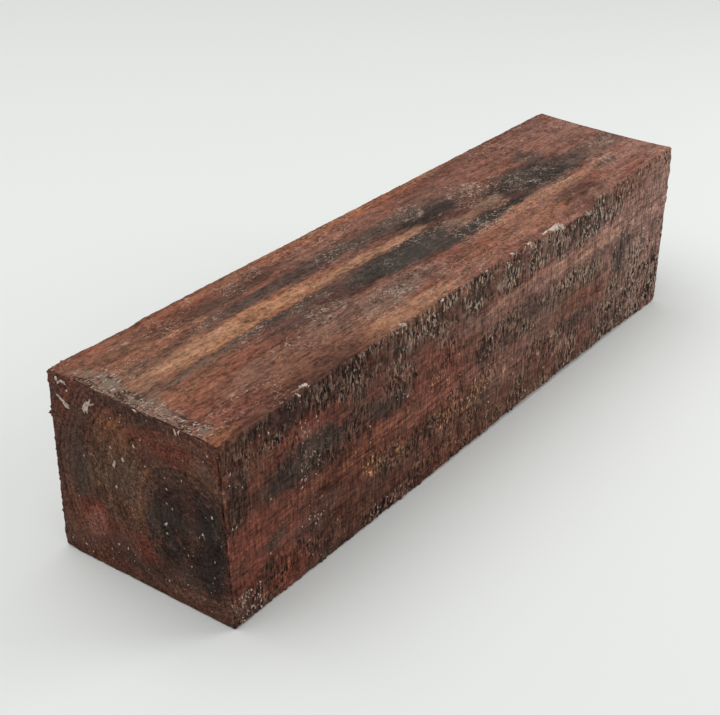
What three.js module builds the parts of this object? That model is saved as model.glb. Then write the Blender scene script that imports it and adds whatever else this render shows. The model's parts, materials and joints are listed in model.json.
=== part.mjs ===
// A rough-sawn chechen turning blank, one piece of wood lying on its base. Millimetres.
//
// The grain and the length run along X, from the near end at -X to the far end at +X. Z is up, and the
// origin is the middle of the base. The block is a little out of true, as it comes off the saw: it tapers
// towards the far end, both ends lean, the top is cupped at the far end, and the arrises are worn and
// chipped. The long sides carry the ridges of the saw, coarser than life, and the base is flat.
import * as THREE from "three";
import { mergeVertices } from "three/addons/utils/BufferGeometryUtils.js";

// A 3 x 3 x 12 inch blank, measured between the middles of its faces. The base is z = 0.
const LENGTH = 304.5;
const WIDTH = 73.4;
const HEIGHT = 75.1;

// How far each face stands out of true at its borders, outwards along its own axis. Left is +Y.
const NEAR_END = { towardsLeft: 1.2, towardsTop: 1.3 };
const FAR_END = { towardsLeft: 0.95, towardsTop: 0.6 };
const LEFT_SIDE = { towardsFar: -1.65, towardsTop: -0.25 };
const RIGHT_SIDE = { towardsFar: -1.1, towardsTop: -0.8 };
const TOP = { towardsFar: 1, towardsRight: 0.15 };

// The cup of the top across its width, deepest at the far end.
const CUP_DEPTH = 0.8;

// Saw marks across the long sides, and the much fainter ones on the smoothed top.
const RIDGE_COUNT = 55;
const RIDGE_DEPTH = 0.42;
const TOP_RIDGE_DEPTH = 0.14;
const END_ROUGHNESS = 0.35;

// The worn arrises.
const ARRIS_WEAR = 0.85;
const ARRIS_RAGGEDNESS = 0.55;
const FOOT_WEAR = 0.5;

// A long scallop off the top right arris. It deepens towards its far end and stops there at a step.
const SCALLOP = { start: 160, deepest: 226, end: 234, depth: 3.6, reach: 15 };

// A notch in the top left arris, near the near end.
const NOTCH = { start: 0, deepest: 38, end: 43, depth: 1.2, reach: 5 };

// The grid on each face: two steps to a ridge along the block, and closer steps towards the arrises.
const STEPS_ALONG = 2 * RIDGE_COUNT;
const STEPS_ACROSS = 8;

// The flat middle of each end, as a share of the half width, where a lathe's centres go.
const FLAT_END_SHARE = 0.45;

const lerp = THREE.MathUtils.lerp;
const smoothstep = THREE.MathUtils.smoothstep;

// A repeatable number from -1 to 1 for a whole number and a seed.
function chance(index, seed) {
  let bits = Math.imul(index + 1013 * seed, 0x9e3779b1);
  bits = Math.imul(bits ^ (bits >>> 15), 0x85ebca6b);
  bits ^= bits >>> 13;
  return (bits >>> 0) / 0x7fffffff - 1;
}

// Smooth noise from -1 to 1 along a line, with one new value at each step of one.
function wobble(place, seed) {
  const index = Math.floor(place);
  return lerp(chance(index, seed), chance(index + 1, seed), smoothstep(place - index, 0, 1));
}

// Grid places from -1 to 1, crowded towards both arrises.
function crowd(share) {
  return Math.sign(share) * (1 - (1 - Math.abs(share)) ** 2);
}

// A dip along an arris: it deepens slowly from its start, and ends at a short step.
function dip(shape, fromNearEnd) {
  const growing = smoothstep(fromNearEnd, shape.start, shape.deepest);
  const ending = 1 - smoothstep(fromNearEnd, shape.deepest, shape.end);
  return shape.depth * growing * ending;
}

// The block before any saw mark, with its six faces flat. All three places run from -1 to 1.
function trueShape(along, across, up) {
  const nearX = -LENGTH / 2 - NEAR_END.towardsLeft * across - NEAR_END.towardsTop * up;
  const farX = LENGTH / 2 + FAR_END.towardsLeft * across + FAR_END.towardsTop * up;
  const leftY = WIDTH / 2 + LEFT_SIDE.towardsFar * along + LEFT_SIDE.towardsTop * up;
  const rightY = -WIDTH / 2 - RIGHT_SIDE.towardsFar * along - RIGHT_SIDE.towardsTop * up;
  const topZ = HEIGHT + TOP.towardsFar * along - TOP.towardsRight * across;
  return new THREE.Vector3(
    lerp(nearX, farX, (along + 1) / 2),
    lerp(rightY, leftY, (across + 1) / 2),
    topZ * ((up + 1) / 2),
  );
}

// The height of the saw's marks at a place on a long face, from -1 to 1. They come and go in patches.
function sawMark(along, height, seed) {
  const ridge = Math.round(((along + 1) / 2) * STEPS_ALONG);
  const rise = ridge % 2 === 0 ? 1 : -1;
  const patch = 0.6 + 0.4 * wobble(along * 7, seed) * wobble(height * 2 + 5, seed + 1);
  return rise * patch + 0.35 * chance(ridge, seed + 2);
}

// Moves a point of the true block to the rough one.
function roughen(along, across, up) {
  const point = trueShape(along, across, up);
  const onSide = Math.abs(across) === 1;
  const onTop = up === 1;
  const onBase = up === -1;
  const onEnd = Math.abs(along) === 1;
  const side = Math.sign(across);
  const end = Math.sign(along);
  const fromNearEnd = point.x + LENGTH / 2;

  if (onSide) {
    point.y += side * RIDGE_DEPTH * sawMark(along, up, 11 + side);
  }
  if (onTop) {
    const cup = CUP_DEPTH * (1 - across ** 2) * smoothstep(along, 0.2, 1);
    point.z += TOP_RIDGE_DEPTH * sawMark(along, across, 31) - cup;
    const fromRight = (across + 1) * (WIDTH / 2);
    const fromLeft = (1 - across) * (WIDTH / 2);
    point.z -= dip(SCALLOP, fromNearEnd) * (1 - smoothstep(fromRight, 0, SCALLOP.reach));
    point.z -= dip(NOTCH, fromNearEnd) * (1 - smoothstep(fromLeft, 0, NOTCH.reach));
  }
  if (onEnd) {
    const rim = Math.max(Math.abs(across), Math.abs(up));
    const roughness = END_ROUGHNESS * smoothstep(rim, FLAT_END_SHARE, 1);
    point.x += end * roughness * wobble(across * 9 + up * 23, 41 + end);
  }

  const raggedness = ARRIS_RAGGEDNESS * wobble(fromNearEnd / 4, 51 + 2 * side + up);
  const worn = ARRIS_WEAR + raggedness;
  if (onSide && onTop) {
    point.y -= side * worn;
    point.z -= worn;
  }
  if (onSide && onBase) {
    point.y -= side * FOOT_WEAR * (1 + raggedness);
  }
  if (onEnd && (onSide || onTop || onBase)) {
    const bite = ARRIS_WEAR + ARRIS_RAGGEDNESS * wobble(across * 13 + up * 17, 61 + end);
    point.x -= end * bite;
    point.y -= onSide ? side * bite : 0;
    point.z -= onTop ? bite : 0;
  }
  return point;
}

// One closed grid over all six faces, moved point by point from a cube to the rough block.
function blankGeometry() {
  const cube = new THREE.BoxGeometry(2, 2, 2, STEPS_ALONG, STEPS_ACROSS, STEPS_ACROSS);
  cube.deleteAttribute("normal");
  cube.deleteAttribute("uv");
  const blank = mergeVertices(cube);
  const position = blank.getAttribute("position");
  for (let i = 0; i < position.count; i += 1) {
    const point = roughen(position.getX(i), crowd(position.getY(i)), crowd(position.getZ(i)));
    position.setXYZ(i, point.x, point.y, point.z);
  }
  blank.computeBoundingBox();
  const { min, max } = blank.boundingBox;
  blank.translate(-(min.x + max.x) / 2, -(min.y + max.y) / 2, -min.z);
  blank.computeVertexNormals();
  return blank;
}

// Red-brown heartwood under a film of wax.
const waxedHeartwood = new THREE.MeshStandardMaterial({
  color: 0x643f33,
  roughness: 0.55,
  metalness: 0,
});

const turningBlank = new THREE.Mesh(blankGeometry(), waxedHeartwood);
turningBlank.name = "turning_blank";

const model = new THREE.Group();
model.name = "chechen_turning_blank";
model.add(turningBlank);

export default model;
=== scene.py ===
"""A rough-sawn chechen turning blank under a film of wax, lying on a pale floor in soft light.

Lengths are metres. Places on the wood are given in millimetres, as they are read with a rule: along
the block from its near end, and across each face from one of its arrises.
"""

import json
import logging
import math
import random
from collections.abc import Iterator
from contextlib import contextmanager
from dataclasses import dataclass
from enum import Enum

import bmesh
import bpy
import numpy as np
from mathutils import Matrix, Vector

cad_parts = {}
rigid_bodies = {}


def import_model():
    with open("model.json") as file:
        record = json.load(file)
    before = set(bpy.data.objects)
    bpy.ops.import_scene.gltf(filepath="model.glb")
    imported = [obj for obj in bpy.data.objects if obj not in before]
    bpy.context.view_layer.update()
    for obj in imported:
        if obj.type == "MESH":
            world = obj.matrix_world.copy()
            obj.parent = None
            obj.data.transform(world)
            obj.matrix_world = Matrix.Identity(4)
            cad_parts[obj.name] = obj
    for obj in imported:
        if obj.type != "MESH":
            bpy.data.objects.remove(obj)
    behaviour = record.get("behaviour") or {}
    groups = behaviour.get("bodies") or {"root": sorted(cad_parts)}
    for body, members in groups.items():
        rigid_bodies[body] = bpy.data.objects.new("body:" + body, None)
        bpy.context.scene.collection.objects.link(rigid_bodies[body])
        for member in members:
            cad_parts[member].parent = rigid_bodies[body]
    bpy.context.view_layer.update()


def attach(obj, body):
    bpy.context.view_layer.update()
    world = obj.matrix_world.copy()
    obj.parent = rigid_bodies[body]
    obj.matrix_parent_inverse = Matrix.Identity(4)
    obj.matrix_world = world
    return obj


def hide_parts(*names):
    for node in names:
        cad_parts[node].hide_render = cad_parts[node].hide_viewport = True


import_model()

NODE = "turning_blank"
BODY = "root"
MM = 0.001

# The block before it warped: the box of the blank, less the wood that stands out of true.
LENGTH = 304.3
WIDTH = 73.9
HEIGHT = 75.1

log = logging.getLogger("turning_blank")

Colour = tuple[float, float, float]
Number = "Value | float"
Triple = tuple[float, float, float]

# An edge counts as running along an axis if this share of its length does.
ALIGNED_SHARE = 0.9


class Axis(Enum):
    """The block's own directions."""

    ALONG = 0
    ACROSS = 1
    UP = 2


class Face(Enum):
    """The faces that carry marks of their own."""

    TOP = "top"
    SIDE = "side"
    END = "end"
    BACK = "back"
    FAR_END = "far end"


class Tone(Enum):
    """The colours in the wood and in the wax on it, and those of the painted shade and highlights on the
    saw's marks.
    """

    BLACK = (0.026, 0.019, 0.017)
    TEAL_BLACK = (0.026, 0.022, 0.019)
    CHARCOAL = (0.066, 0.046, 0.037)
    DARK_BROWN = (0.070, 0.029, 0.019)
    BROWN = (0.115, 0.050, 0.036)
    RED_BROWN = (0.150, 0.051, 0.032)
    BRIGHT_RED = (0.215, 0.050, 0.030)
    ROSE = (0.205, 0.092, 0.064)
    OLIVE = (0.120, 0.070, 0.042)
    ORANGE = (0.280, 0.112, 0.053)
    TAN = (0.340, 0.175, 0.098)
    YELLOW = (0.500, 0.260, 0.105)
    GREY_WAX = (0.310, 0.220, 0.175)
    MAUVE = (0.275, 0.150, 0.122)
    PALE_ROSE = (0.390, 0.215, 0.170)
    # Pale dry fibre and wax, also the painted highlight on the saw's tips.
    DRY_TIP = (0.440, 0.330, 0.250)
    # Near black: painted shade in the gaps, holes and valleys that the saw tore.
    GAP = (0.010, 0.007, 0.006)
    TORN_WAX = (0.250, 0.200, 0.155)
    GREY_FILM = (0.175, 0.150, 0.120)
    DUN = (0.195, 0.118, 0.080)
    # Painted highlight on the tips of the saw's ridges at the near end.
    WARM_TIP = (0.300, 0.145, 0.095)


# How deep into the wood a streak reaches below the face that shows it, in millimetres.
STREAK_DEPTH = {
    Face.TOP: 11.0,
    Face.SIDE: 11.0,
    Face.END: 6.0,
    Face.BACK: 11.0,
    Face.FAR_END: 7.0,
}


@dataclass(frozen=True)
class Area:
    """An area of a face.

    Attributes:
        start: Where it starts, in millimetres along the face.
        end: Where it ends.
        upper: Its upper border, in millimetres from the face's first arris.
        lower: Its lower border.
    """

    start: float
    end: float
    upper: float
    lower: float


@dataclass(frozen=True)
class Streak(Area):
    """One streak or patch of colour, as a long blob in the wood below a face.

    Attributes:
        tone: Its colour.
        strength: How much of the wood's own colour it covers, from 0 to 1.
        speckled: Whether it shows only as specks, or as holes of painted shade if its tone is the
            near-black gap shade.
    """

    tone: Tone
    strength: float = 0.8
    speckled: bool = False

    def middle(self, face: Face) -> Vector:
        """Its middle, in millimetres from the middle of the base.

        Args:
            face: The face that it is read on.

        Returns:
            The point in the block's frame.
        """
        along = (self.start + self.end) / 2
        across = (self.upper + self.lower) / 2
        if face is Face.TOP:
            return Vector((along - LENGTH / 2, WIDTH / 2 - across, HEIGHT))
        if face in (Face.SIDE, Face.BACK):
            side = -1 if face is Face.SIDE else 1
            return Vector((along - LENGTH / 2, side * WIDTH / 2, HEIGHT - across))
        end = -1 if face is Face.END else 1
        return Vector((end * LENGTH / 2, WIDTH / 2 - along, HEIGHT - across))

    def reach(self, face: Face) -> Vector:
        """Its half lengths along the block's three axes.

        Args:
            face: The face that it is read on.

        Returns:
            The half lengths, in millimetres.
        """
        half = (self.end - self.start) / 2
        wide = (self.lower - self.upper) / 2
        deep = STREAK_DEPTH[face]
        if face is Face.TOP:
            return Vector((half, wide, deep))
        if face in (Face.SIDE, Face.BACK):
            return Vector((half, deep, wide))
        return Vector((deep, half, wide))


# The top, from the left arris (0) to the right one (74).
TOP_STREAKS = (
    Streak(-20, 330, -5, 8, Tone.RED_BROWN, 0.35),
    Streak(14, 240, -1, 6, Tone.ORANGE, 0.55),
    Streak(5, 21, 8, 13, Tone.DARK_BROWN, 0.7),
    Streak(10, 110, 8, 15, Tone.DARK_BROWN, 0.95),
    Streak(195, 310, 6, 26, Tone.ROSE, 0.6),
    Streak(235, 310, 20, 60, Tone.ROSE, 0.5),
    Streak(48, 195, 16, 25, Tone.CHARCOAL, 0.85),
    Streak(156, 198, 22, 33, Tone.TEAL_BLACK, 0.85),
    Streak(90, 160, 25, 33, Tone.ROSE, 0.5),
    Streak(8, 112, 24, 36, Tone.ORANGE, 0.65),
    Streak(12, 98, 25, 34, Tone.TAN, 0.65),
    Streak(96, 168, 29, 34, Tone.TAN, 0.6),
    Streak(5, 104, 36, 40, Tone.CHARCOAL, 0.85),
    Streak(4, 16, 30, 36, Tone.CHARCOAL, 0.7),
    Streak(66, 106, 40, 50, Tone.TEAL_BLACK, 0.55),
    Streak(5, 40, 41, 53, Tone.RED_BROWN, 0.4),
    Streak(-10, 66, 50, 80, Tone.RED_BROWN, 0.4),
    Streak(30, 112, 48, 72, Tone.OLIVE, 0.35),
    Streak(101, 180, 34, 48, Tone.TEAL_BLACK, 0.96),
    Streak(104, 178, 34, 48, Tone.GREY_WAX, 0.18, True),
    Streak(145, 224, 45, 53, Tone.TEAL_BLACK, 0.95),
    Streak(169, 192, 37, 45, Tone.DUN, 0.6),
    Streak(208, 258, 27, 51, Tone.TEAL_BLACK, 0.82),
    Streak(224, 274, 33, 48, Tone.TEAL_BLACK, 0.5),
    Streak(193, 212, 35, 45, Tone.DUN, 0.85),
    Streak(238, 276, 36, 49, Tone.TEAL_BLACK, 0.65),
    Streak(255, 315, 36, 48, Tone.CHARCOAL, 0.7),
    Streak(262, 320, 18, 40, Tone.DARK_BROWN, 0.22),
    Streak(-20, 52, -5, 56, Tone.TAN, 0.2),
    Streak(247, 260, 19, 34, Tone.CHARCOAL, 0.8),
    Streak(138, 205, 57, 68, Tone.ORANGE, 0.2),
    Streak(178, 262, 51, 57, Tone.TAN, 0.4),
    Streak(218, 248, 57, 71, Tone.DARK_BROWN, 0.75),
    Streak(260, 277, 53, 60, Tone.CHARCOAL, 0.6),
    Streak(80, 136, 66, 75, Tone.TAN, 0.65),
    Streak(68, 142, 48, 64, Tone.GREY_WAX, 0.2),
    Streak(98, 138, 51, 62, Tone.CHARCOAL, 0.45),
    Streak(74, 102, 42, 53, Tone.TORN_WAX, 0.6, True),
    Streak(100, 148, 49, 67, Tone.TORN_WAX, 0.75, True),
    Streak(164, 180, 14, 26, Tone.DRY_TIP, 0.5, True),
    Streak(196, 218, 18, 31, Tone.DRY_TIP, 0.5, True),
    Streak(164, 202, 43, 56, Tone.DRY_TIP, 0.6, True),
    Streak(220, 256, 30, 51, Tone.TORN_WAX, 0.6, True),
    Streak(256, 282, 51, 61, Tone.DRY_TIP, 0.5, True),
    Streak(80, 104, 62, 75, Tone.TAN, 0.7, True),
    Streak(14, 60, 12, 24, Tone.TAN, 0.4, True),
    Streak(288, 306, -5, 80, Tone.TORN_WAX, 0.4, True),
    Streak(-6, 10, 66, 78, Tone.ORANGE, 0.5),
    # The two washes below make the far end lighter and greyer: partly the wood's colour, partly painted
    # sheen.
    Streak(262, 330, -10, 85, Tone.PALE_ROSE, 0.12),
    Streak(258, 330, 50, 85, Tone.PALE_ROSE, 0.15),
)

# The right side, from the top arris (0) down to the base (75). Its speckled streaks in the near-black gap
# tone are painted shade in the holes that the saw tore.
SIDE_STREAKS = (
    # The three washes below darken the near half and make the far half lighter and greyer: partly the
    # wood's colour, partly painted light and shade along the side.
    Streak(-30, 150, -10, 85, Tone.DARK_BROWN, 0.45),
    Streak(100, 340, -10, 90, Tone.MAUVE, 0.25),
    Streak(185, 340, -10, 60, Tone.MAUVE, 0.40),
    Streak(-20, 108, 0, 14, Tone.BLACK, 0.6),
    Streak(96, 262, 0, 15, Tone.RED_BROWN, 0.45),
    Streak(66, 144, 10, 60, Tone.BRIGHT_RED, 0.36),
    Streak(200, 262, 3, 17, Tone.BLACK, 0.35),
    Streak(40, 110, 2, 14, Tone.RED_BROWN, 0.35),
    Streak(100, 255, 1, 14, Tone.GAP, 0.75, True),
    Streak(20, 70, 3, 14, Tone.GAP, 0.6, True),
    Streak(-4, 32, 8, 19, Tone.RED_BROWN, 0.6),
    Streak(28, 62, 12, 26, Tone.BRIGHT_RED, 0.5),
    Streak(24, 64, 20, 36, Tone.TEAL_BLACK, 0.7),
    Streak(2, 14, 11, 38, Tone.BLACK, 0.65),
    Streak(60, 84, 22, 34, Tone.CHARCOAL, 0.5),
    Streak(78, 101, 23, 35, Tone.TEAL_BLACK, 0.75),
    Streak(-6, 60, 34, 53, Tone.BRIGHT_RED, 0.5),
    Streak(10, 90, 34, 48, Tone.DARK_BROWN, 0.25),
    Streak(40, 108, 36, 46, Tone.ORANGE, 0.2),
    Streak(2, 50, 48, 77, Tone.BRIGHT_RED, 0.5),
    Streak(21, 34, 47, 56, Tone.TEAL_BLACK, 0.6),
    Streak(14, 27, 59, 67, Tone.BLACK, 0.55),
    Streak(50, 112, 58, 80, Tone.DARK_BROWN, 0.5),
    Streak(74, 158, 44, 60, Tone.DARK_BROWN, 0.25),
    Streak(74, 158, 45, 59, Tone.GAP, 0.8, True),
    Streak(176, 234, 48, 60, Tone.GAP, 0.8, True),
    Streak(76, 91, 46, 57, Tone.YELLOW, 0.9, True),
    Streak(92, 101, 46, 56, Tone.YELLOW, 0.9, True),
    Streak(106, 128, 47, 58, Tone.YELLOW, 0.95, True),
    Streak(126, 157, 44, 57, Tone.YELLOW, 0.95, True),
    Streak(107, 118, 32, 37, Tone.YELLOW, 0.9, True),
    Streak(167, 176, 48, 56, Tone.YELLOW, 0.7, True),
    Streak(186, 216, 50, 58, Tone.DRY_TIP, 0.7, True),
    Streak(140, 215, 16, 22, Tone.MAUVE, 0.5),
    Streak(182, 315, 21.5, 26, Tone.PALE_ROSE, 0.5),
    Streak(146, 212, 16, 20, Tone.TAN, 0.35),
    Streak(200, 262, 19.5, 25, Tone.TAN, 0.4),
    Streak(146, 202, 26, 41, Tone.CHARCOAL, 0.65),
    Streak(146, 156, 30, 40, Tone.BLACK, 0.6),
    Streak(150, 200, 24, 42, Tone.GAP, 0.6, True),
    Streak(198, 243, 28, 46, Tone.OLIVE, 0.6),
    Streak(256, 278, 26, 45, Tone.TEAL_BLACK, 0.92),
    Streak(258, 303, 30, 42, Tone.GREY_WAX, 0.6, True),
    Streak(252, 305, 46, 73, Tone.BLACK, 0.45),
    Streak(256, 305, 44, 70, Tone.GREY_WAX, 0.45, True),
    Streak(240, 312, 9, 21, Tone.MAUVE, 0.6),
    Streak(250, 312, 11, 20, Tone.CHARCOAL, 0.12),
    Streak(256, 300, 8, 12, Tone.DARK_BROWN, 0.5),
    Streak(250, 306, -3, 9, Tone.RED_BROWN, 0.75),
    Streak(222, 272, -3, 10, Tone.ROSE, 0.35),
    Streak(196, 258, 40, 53, Tone.RED_BROWN, 0.7),
    Streak(203, 243, 50, 61, Tone.BLACK, 0.6),
    Streak(98, 255, 56, 82, Tone.RED_BROWN, 0.65),
    Streak(98, 240, 58, 85, Tone.DARK_BROWN, 0.4),
    # A wash that makes the far end lighter and greyer: partly the wood's colour, partly painted sheen.
    Streak(266, 330, -10, 90, Tone.PALE_ROSE, 0.26),
    Streak(38, 50, 12, 36, Tone.GREY_WAX, 0.35, True),
    Streak(38, 54, 40, 80, Tone.BLACK, 0.4),
    Streak(95, 101, 8, 32, Tone.GREY_WAX, 0.6, True),
    Streak(-4, 18, 62, 82, Tone.BLACK, 0.6),
    Streak(-2, 17, 63, 80, Tone.GREY_WAX, 0.5, True),
    Streak(74, 106, 66, 80, Tone.BLACK, 0.6),
    Streak(74, 102, 68, 77, Tone.GREY_WAX, 0.4, True),
)

# The near end, from its left arris (0) to the right one (74), and from the top down. Its speckled streak in
# the near-black gap tone is painted shade in holes of the end grain.
END_STREAKS = (
    Streak(-5, 79, -5, 80, Tone.DARK_BROWN, 0.6),
    Streak(42, 84, 13, 72, Tone.BLACK, 0.55),
    Streak(15, 66, -4, 5, Tone.BLACK, 0.5),
    Streak(20, 36, 4, 26, Tone.ORANGE, 0.45),
    Streak(15, 39, 14, 52, Tone.OLIVE, 0.45),
    Streak(39, 57, 27, 60, Tone.TEAL_BLACK, 0.65),
    Streak(62, 75, 18, 70, Tone.BLACK, 0.85),
    Streak(2, 16, 15, 49, Tone.CHARCOAL, 0.6),
    Streak(8, 23, 47, 64, Tone.BRIGHT_RED, 0.95),
    Streak(22, 34, 56, 70, Tone.BLACK, 0.5),
    Streak(30, 44, 52, 66, Tone.BRIGHT_RED, 0.5),
    Streak(1, 43, 50, 77, Tone.RED_BROWN, 0.55),
    Streak(36, 65, 5, 16, Tone.BRIGHT_RED, 0.5),
    Streak(38, 76, 68, 79, Tone.RED_BROWN, 0.4),
    Streak(-5, 79, 64, 82, Tone.DARK_BROWN, 0.35),
    Streak(10, 21, 50, 62, Tone.PALE_ROSE, 0.22),
    Streak(20, 74, 62, 71, Tone.BLACK, 0.3),
    Streak(14, 41, 8, 52, Tone.TAN, 0.5, True),
    Streak(14, 41, 8, 52, Tone.GAP, 0.3, True),
    Streak(24, 30, 8, 14, Tone.ORANGE, 0.6),
)

# The left side and the far end, which carry the same kinds of marks.
BACK_STREAKS = (
    Streak(-20, 120, -5, 12, Tone.RED_BROWN, 0.5),
    Streak(-10, 130, 14, 24, Tone.TEAL_BLACK, 0.75),
    Streak(110, 190, 20, 34, Tone.BLACK, 0.7),
    Streak(180, 262, 28, 40, Tone.TEAL_BLACK, 0.6),
    Streak(30, 150, 30, 40, Tone.ORANGE, 0.5),
    Streak(60, 150, 44, 60, Tone.BRIGHT_RED, 0.45),
    Streak(150, 330, 4, 16, Tone.ROSE, 0.6),
    Streak(170, 320, 44, 52, Tone.PALE_ROSE, 0.4),
    Streak(-10, 60, 52, 80, Tone.BLACK, 0.5),
    Streak(190, 330, 58, 80, Tone.DARK_BROWN, 0.7),
    Streak(100, 126, 46, 56, Tone.YELLOW, 0.7, True),
    Streak(210, 250, 16, 27, Tone.DRY_TIP, 0.6, True),
    Streak(20, 70, 62, 76, Tone.DRY_TIP, 0.5, True),
)
FAR_END_STREAKS = (
    Streak(-5, 79, -5, 80, Tone.DARK_BROWN, 0.4),
    Streak(4, 26, 8, 60, Tone.CHARCOAL, 0.6),
    Streak(34, 58, 22, 54, Tone.BLACK, 0.65),
    Streak(22, 40, 48, 76, Tone.BRIGHT_RED, 0.5),
    Streak(58, 76, 4, 34, Tone.RED_BROWN, 0.6),
    Streak(18, 40, 4, 30, Tone.OLIVE, 0.6),
    Streak(18, 40, 4, 40, Tone.TAN, 0.4, True),
)

# How far each corner of the sawn block stands from the corner of its box, in millimetres. A corner is
# named by its signs: near or far end, right or left side, base or top.
CORNERS = {
    (-1, 1, 1): (-1.9, 1.2, -0.5),
    (-1, -1, 1): (-1.0, -0.6, -0.8),
    (-1, -1, -1): (2.6, -2.3, 0.0),
    (-1, 1, -1): (-1.0, 1.9, 0.0),
    (1, 1, 1): (2.0, -1.9, 0.9),
    (1, -1, 1): (0.4, 1.4, 2.1),
    (1, -1, -1): (-1.2, -0.2, 0.0),
    (1, 1, -1): (0.5, -1.2, 0.0),
}


def deselect_all() -> None:
    """Leaves nothing selected, so that an operator acts on its own piece alone."""
    bpy.ops.object.select_all(action="DESELECT")


def select_only(piece: bpy.types.Object) -> None:
    """Selects one piece alone, and makes it the active one."""
    deselect_all()
    bpy.context.view_layer.objects.active = piece
    piece.select_set(True)


@contextmanager
def editing(piece: bpy.types.Object) -> Iterator[None]:
    """Holds a piece in edit mode, with edges as what is selected.

    Args:
        piece: The piece to edit.

    Yields:
        Nothing. The piece is back in object mode afterwards.
    """
    select_only(piece)
    bpy.ops.object.mode_set(mode="EDIT")
    bpy.ops.mesh.select_mode(type="EDGE")
    yield
    bpy.ops.object.mode_set(mode="OBJECT")


def select_edges(piece: bpy.types.Object, axis: Axis, shortest: float) -> None:
    """Selects the edges that run along an axis. The piece is in edit mode.

    Args:
        piece: The piece.
        axis: The direction of the edges.
        shortest: The length, in metres, that an edge has to pass.
    """
    bpy.ops.mesh.select_all(action="DESELECT")
    shape = bmesh.from_edit_mesh(piece.data)
    for edge in shape.edges:
        span = edge.verts[1].co - edge.verts[0].co
        edge.select_set(abs(span[axis.value]) > max(shortest, ALIGNED_SHARE * span.length))
    bmesh.update_edit_mesh(piece.data)


def join(copies: list[bpy.types.Object], name: str) -> bpy.types.Object:
    """Joins pieces into one that sits at the origin, unturned and unscaled.

    Args:
        copies: The pieces.
        name: The name of the whole.

    Returns:
        The whole.
    """
    deselect_all()
    for copy in copies:
        copy.select_set(True)
    bpy.context.view_layer.objects.active = copies[0]
    bpy.ops.object.join()
    piece = bpy.context.active_object
    piece.name = piece.data.name = name
    bpy.ops.object.transform_apply(location=True, rotation=True, scale=True)
    bpy.ops.object.shade_smooth()
    return piece


def crumpled(name: str, rounds: int, wander: float, seed: int) -> bpy.types.Object:
    """Makes a crumpled lump, a unit across, that others are copies of.

    Args:
        name: Its name.
        rounds: How many times it is divided and shaken again.
        wander: How far its points are moved at first.
        seed: The seed of that.

    Returns:
        The lump.
    """
    deselect_all()
    bpy.ops.mesh.primitive_ico_sphere_add(subdivisions=1, radius=0.5)
    piece = bpy.context.active_object
    piece.name = name
    with editing(piece):
        bpy.ops.mesh.select_all(action="SELECT")
        bpy.ops.transform.vertex_random(offset=wander, uniform=0.6, normal=0.4, seed=seed)
        for step in range(rounds):
            finer = wander / (3 + 2 * step)
            bpy.ops.mesh.subdivide(number_cuts=1)
            bpy.ops.transform.vertex_random(offset=finer, uniform=0.5, seed=seed + step)
    return piece


def place_copy(start: bpy.types.Object, place: Matrix) -> bpy.types.Object:
    """Copies a piece.

    Args:
        start: The piece to copy.
        place: Where the copy goes, with its turn and its size.

    Returns:
        The copy, with its own mesh.
    """
    copy = start.copy()
    copy.data = start.data.copy()
    bpy.context.scene.collection.objects.link(copy)
    copy.matrix_world = place
    return copy


def read_points(piece: bpy.types.Object, what: str = "co") -> np.ndarray:
    """Reads a piece's points or normals.

    Args:
        piece: The piece.
        what: The vertex value, co or normal.

    Returns:
        One row of three numbers for each vertex.
    """
    values = np.empty(3 * len(piece.data.vertices), np.float32)
    piece.data.vertices.foreach_get(what, values)
    return values.reshape(-1, 3).astype(float)


def write_attribute(piece: bpy.types.Object, name: str, values: np.ndarray) -> None:
    """Keeps a number at each vertex, which the finish reads.

    Args:
        piece: The piece.
        name: The attribute's name.
        values: The numbers.
    """
    attribute = piece.data.attributes.new(name, "FLOAT", "POINT")
    attribute.data.foreach_set("value", values.astype(np.float32))


def smoothstep(values: np.ndarray, low: float, high: float) -> np.ndarray:
    """Rises smoothly from 0 at low to 1 at high.

    Args:
        values: The places to read it at.
        low: Where it starts to rise.
        high: Where it is 1. Below low, it falls in place of rising.

    Returns:
        Shares from 0 to 1.
    """
    share = np.clip((values - low) / (high - low), 0.0, 1.0)
    return share * share * (3.0 - 2.0 * share)


def window(values: np.ndarray, low: float, high: float, fade: float) -> np.ndarray:
    """Is 1 from low to high, and fades to 0 across both borders.

    Args:
        values: The places to read it at.
        low: The lower border.
        high: The upper border.
        fade: How far the fading reaches on each side of a border.

    Returns:
        Shares from 0 to 1.
    """
    return smoothstep(values, low - fade, low + fade) * smoothstep(values, high + fade, high - fade)


# A vertex with a smaller weight than this keeps its place under a layer of relief.
LEAST_WEIGHT = 0.002


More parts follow.
